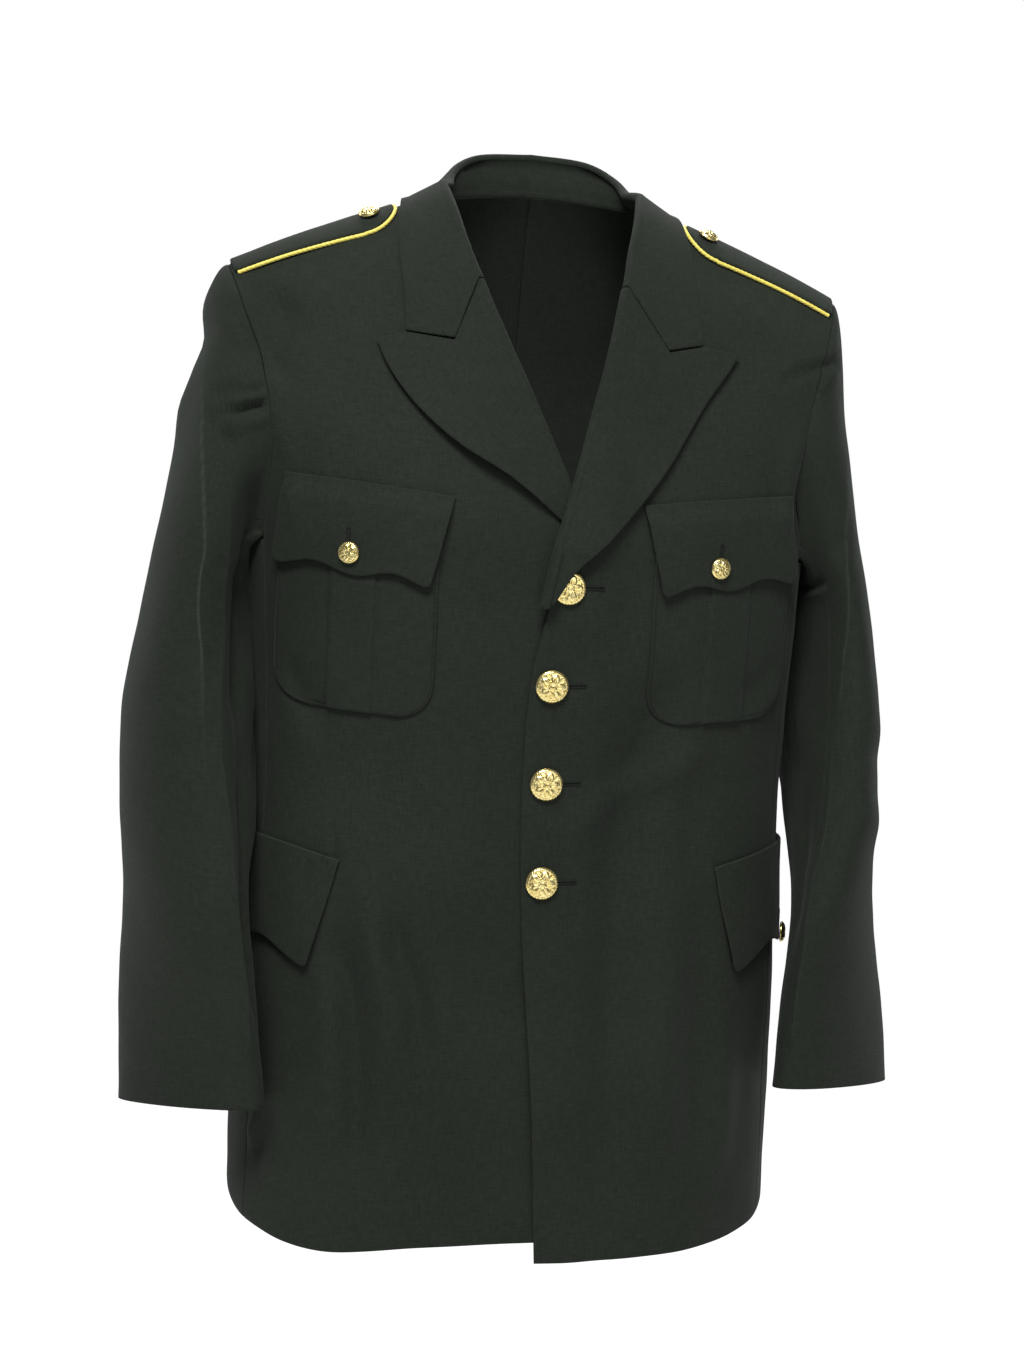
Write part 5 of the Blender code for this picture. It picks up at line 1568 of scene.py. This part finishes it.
def on_cloth(x, z, lift, side):
    """Points on the outside of the cloth at this lift, with its folds, and the way out of it."""
    spots = on_body(np.asarray(x, float), np.asarray(z, float), FRONT)
    out = unit(body_slope(spots, FRONT))
    return spots + out * (lift + body_unevenness(spots, side))[..., None], out


def join(meshes):
    points, faces, count = [], [], 0
    for some_points, some_faces in meshes:
        points.append(some_points)
        faces += [[k + count for k in face] for face in some_faces]
        count += len(some_points)
    return np.concatenate(points), faces


def stitch_row(path, out):
    """Stitches end to end along a path: each dips into the cloth at both its ends."""
    run = run_of(path)
    hump = np.sin(np.pi * np.linspace(0.08, 0.92, 6))
    radii = STITCH["radius"] * (0.5 + 0.5 * hump)
    meshes = []
    for start in np.arange(0, run[-1] - STITCH["length"], STITCH["length"] + STITCH["gap"]):
        at = start + STITCH["length"] * np.linspace(0, 1, 6)
        lift = (STITCH["radius"] * (hump - 0.55))[:, None]
        spine = along_path(at, run, path) + along_path(at, run, out) * lift
        meshes.append(tube(spine, lambda turn: radii, 7, (0, 0.37, 1.0)))
    return join(meshes)


def buttonhole(start, end):
    """The line of a worked buttonhole on flat cloth: both its edges and a bar at each end."""
    start, end = np.array(start, float), np.array(end, float)
    along = HOLE_HALF_WIDTH * unit(end - start)
    beside = np.array([-along[1], along[0]])
    turn = np.linspace(-np.pi / 2, np.pi / 2, 9)[:, None]
    cap = beside * np.sin(turn) + along * np.cos(turn)
    run = np.linspace(0, 1, 24)[1:-1, None]
    loop = [end + cap, blend(end, start, run) + beside, start - cap, blend(start, end, run) - beside]
    loop = np.concatenate(loop)
    return np.concatenate([loop, loop[:2]])


def add_buttonhole(name, side, start, end, lift):
    x, z = buttonhole(start, end).T
    path, out = on_cloth(x, z, lift, side)
    points, faces = rope_mesh(path + out * HOLE_THREAD["radius"] * 0.35, **HOLE_THREAD)
    add_piece(name, mirrored(points, side), faces, THREAD)


def make_buttonholes():
    for number, place in enumerate(FRONT_BUTTONS, 1):
        x, z = place["x"], place["z"]
        lift = overlap_lift(x + 14.0, z) + CLOTH
        start, end = (x - FRONT_HOLE["inward"], z), (x + FRONT_HOLE["outward"], z + 0.8)
        add_buttonhole(f"front_buttonhole_{number}", LEFT, start, end, lift)
    on_lower = LOWER_FLAP_LOW + LOWER_FLAP_STAND * 0.8 + FLAP_THICK
    for tag, side in SIDES.items():
        for name, place, lift in (
            ("breast", BREAST_BUTTON[side], FLAP_LOW + FLAP_THICK),
            ("lower", LOWER_BUTTON, on_lower),
        ):
            x, z = place["x"], place["z"]
            low, high = (x, z - FLAP_HOLE["below"]), (x + 1.0, z + FLAP_HOLE["above"])
            add_buttonhole(f"{name}_buttonhole_{tag}", side, low, high, lift)


def pocket_seam():
    """The line that sews a patch pocket to its front, close to the pocket's edge."""
    left, right = POCKET["inner"] + POCKET_SEAM_INSET, POCKET["outer"] - POCKET_SEAM_INSET
    low_in, low_out = (POCKET[k] + POCKET_SEAM_INSET for k in ("bottom_inner", "bottom_outer"))
    corner = POCKET["corner"] - POCKET_SEAM_INSET
    turn = np.linspace(0, np.pi / 2, 14)
    down = np.linspace(POCKET_SEAM_TOP, low_in + corner, 30)
    up = np.linspace(low_out + corner, POCKET_SEAM_TOP, 30)
    x = [left + 0 * down, left + corner - corner * np.cos(turn)]
    x += [np.linspace(left + corner, right - corner, 20)]
    x += [right - corner + corner * np.sin(turn), right + 0 * up]
    z = [down, low_in + corner - corner * np.sin(turn), np.linspace(low_in, low_out, 20)]
    z += [low_out + corner - corner * np.cos(turn), up]
    return np.concatenate(x), np.concatenate(z)


def make_pocket_stitches():
    for tag, side in SIDES.items():
        points, faces = stitch_row(*on_cloth(*pocket_seam(), PATCH_LOW + PATCH_THICK, side))
        add_piece(f"pocket_stitches_{tag}", mirrored(points, side), faces, THREAD)


# ---- floor, light and camera ----
# All in metres and watts.
FLOOR_Z = -1.5
FLOOR_RADIUS = 3.2
LAMPS_AIM = (0, 0, -0.35)
LAMPS = table(
    "name place size power",
    ("key", (-0.6, -1.9, 2.1), (1.4, 0.9), 108),
    ("fill", (0.6, -2.6, 0.2), (1.6, 1.6), 12),
    ("back_top", (0.1, 1.1, 1.3), (1.3, 0.8), 24),
    ("side_left", (2.3, 1.5, 0.6), (1.6, 1.6), 14),
    ("side_right", (-2.3, 1.5, 0.6), (1.6, 1.6), 14),
)
SURROUND = 0.20  # how brightly the white surround lights the cloth
CAMERA = dict(
    x=-0.197, y=-1.388, z=-0.240, yaw=7.9, pitch=5.16, roll=2.66, focal_pixels=1800, image_height=1365
)
SENSOR = 36.0


def make_stage():
    mesh = bpy.data.meshes.new("floor")
    turns = np.linspace(0, 2 * np.pi, 96, endpoint=False)
    rim = [(FLOOR_RADIUS * np.cos(a), FLOOR_RADIUS * np.sin(a), FLOOR_Z) for a in turns]
    mesh.from_pydata(rim, [], [tuple(range(len(rim)))])
    pale, _, _ = new_material(
        "pale_floor", (0.20, 0.20, 0.20), 0.9, Specular_IOR_Level=0.0,
        Emission_Color=(1, 1, 1, 1), Emission_Strength=0.94,
    )
    mesh.materials.append(pale)
    floor = bpy.data.objects.new("floor", mesh)
    bpy.context.scene.collection.objects.link(floor)


def add_light(name, place, size, power):
    data = bpy.data.lights.new(name, "AREA")
    data.shape = "RECTANGLE"
    data.size, data.size_y = size
    data.energy = power
    light = bpy.data.objects.new(name, data)
    light.location = place
    way = Vector(LAMPS_AIM) - Vector(place)
    light.rotation_euler = way.to_track_quat("-Z", "Y").to_euler()
    bpy.context.scene.collection.objects.link(light)


def make_light():
    """A white surround that lights the cloth only softly, and large lamps above and in front."""
    world = bpy.data.worlds.new("studio")
    world.use_nodes = True
    tree = world.node_tree
    surround = tree.nodes["Background"]
    surround.inputs["Color"].default_value = (1, 1, 1, 1)
    surround.inputs["Strength"].default_value = 1.0
    dim = add_node(tree, "ShaderNodeBackground", Color=(0.96, 0.98, 1.0, 1), Strength=SURROUND)
    rays = add_node(tree, "ShaderNodeLightPath")
    mix = add_node(tree, "ShaderNodeMixShader")
    link(tree, rays, "Is Camera Ray", mix, "Fac")
    tree.links.new(dim.outputs[0], mix.inputs[1])
    tree.links.new(surround.outputs[0], mix.inputs[2])
    link(tree, mix, "Shader", tree.nodes["World Output"], "Surface")
    bpy.context.scene.world = world
    for lamp in LAMPS:
        add_light(**lamp)
    bpy.context.scene.view_settings.view_transform = "Standard"


def make_camera():
    yaw, pitch, roll = (np.radians(CAMERA[k]) for k in ("yaw", "pitch", "roll"))
    forward = np.array([np.sin(yaw) * np.cos(pitch), np.cos(yaw) * np.cos(pitch), -np.sin(pitch)])
    level = np.array([np.cos(yaw), -np.sin(yaw), 0])
    upright = np.cross(level, forward)
    right = np.cos(roll) * level + np.sin(roll) * upright
    up = -np.sin(roll) * level + np.cos(roll) * upright
    data = bpy.data.cameras.new("photo_camera")
    data.sensor_fit = "VERTICAL"
    data.sensor_height = SENSOR
    data.lens = SENSOR * CAMERA["focal_pixels"] / CAMERA["image_height"]
    camera = bpy.data.objects.new("photo_camera", data)
    bpy.context.scene.collection.objects.link(camera)
    turned = Matrix(np.column_stack([right, up, -forward]).tolist()).to_4x4()
    turned.translation = Vector((CAMERA["x"], CAMERA["y"], CAMERA["z"]))
    camera.matrix_world = turned
    bpy.context.scene.camera = camera


make_camera()
make_light()
make_stage()
make_cloth()
make_piping()
make_buttons()
make_buttonholes()
make_pocket_stitches()
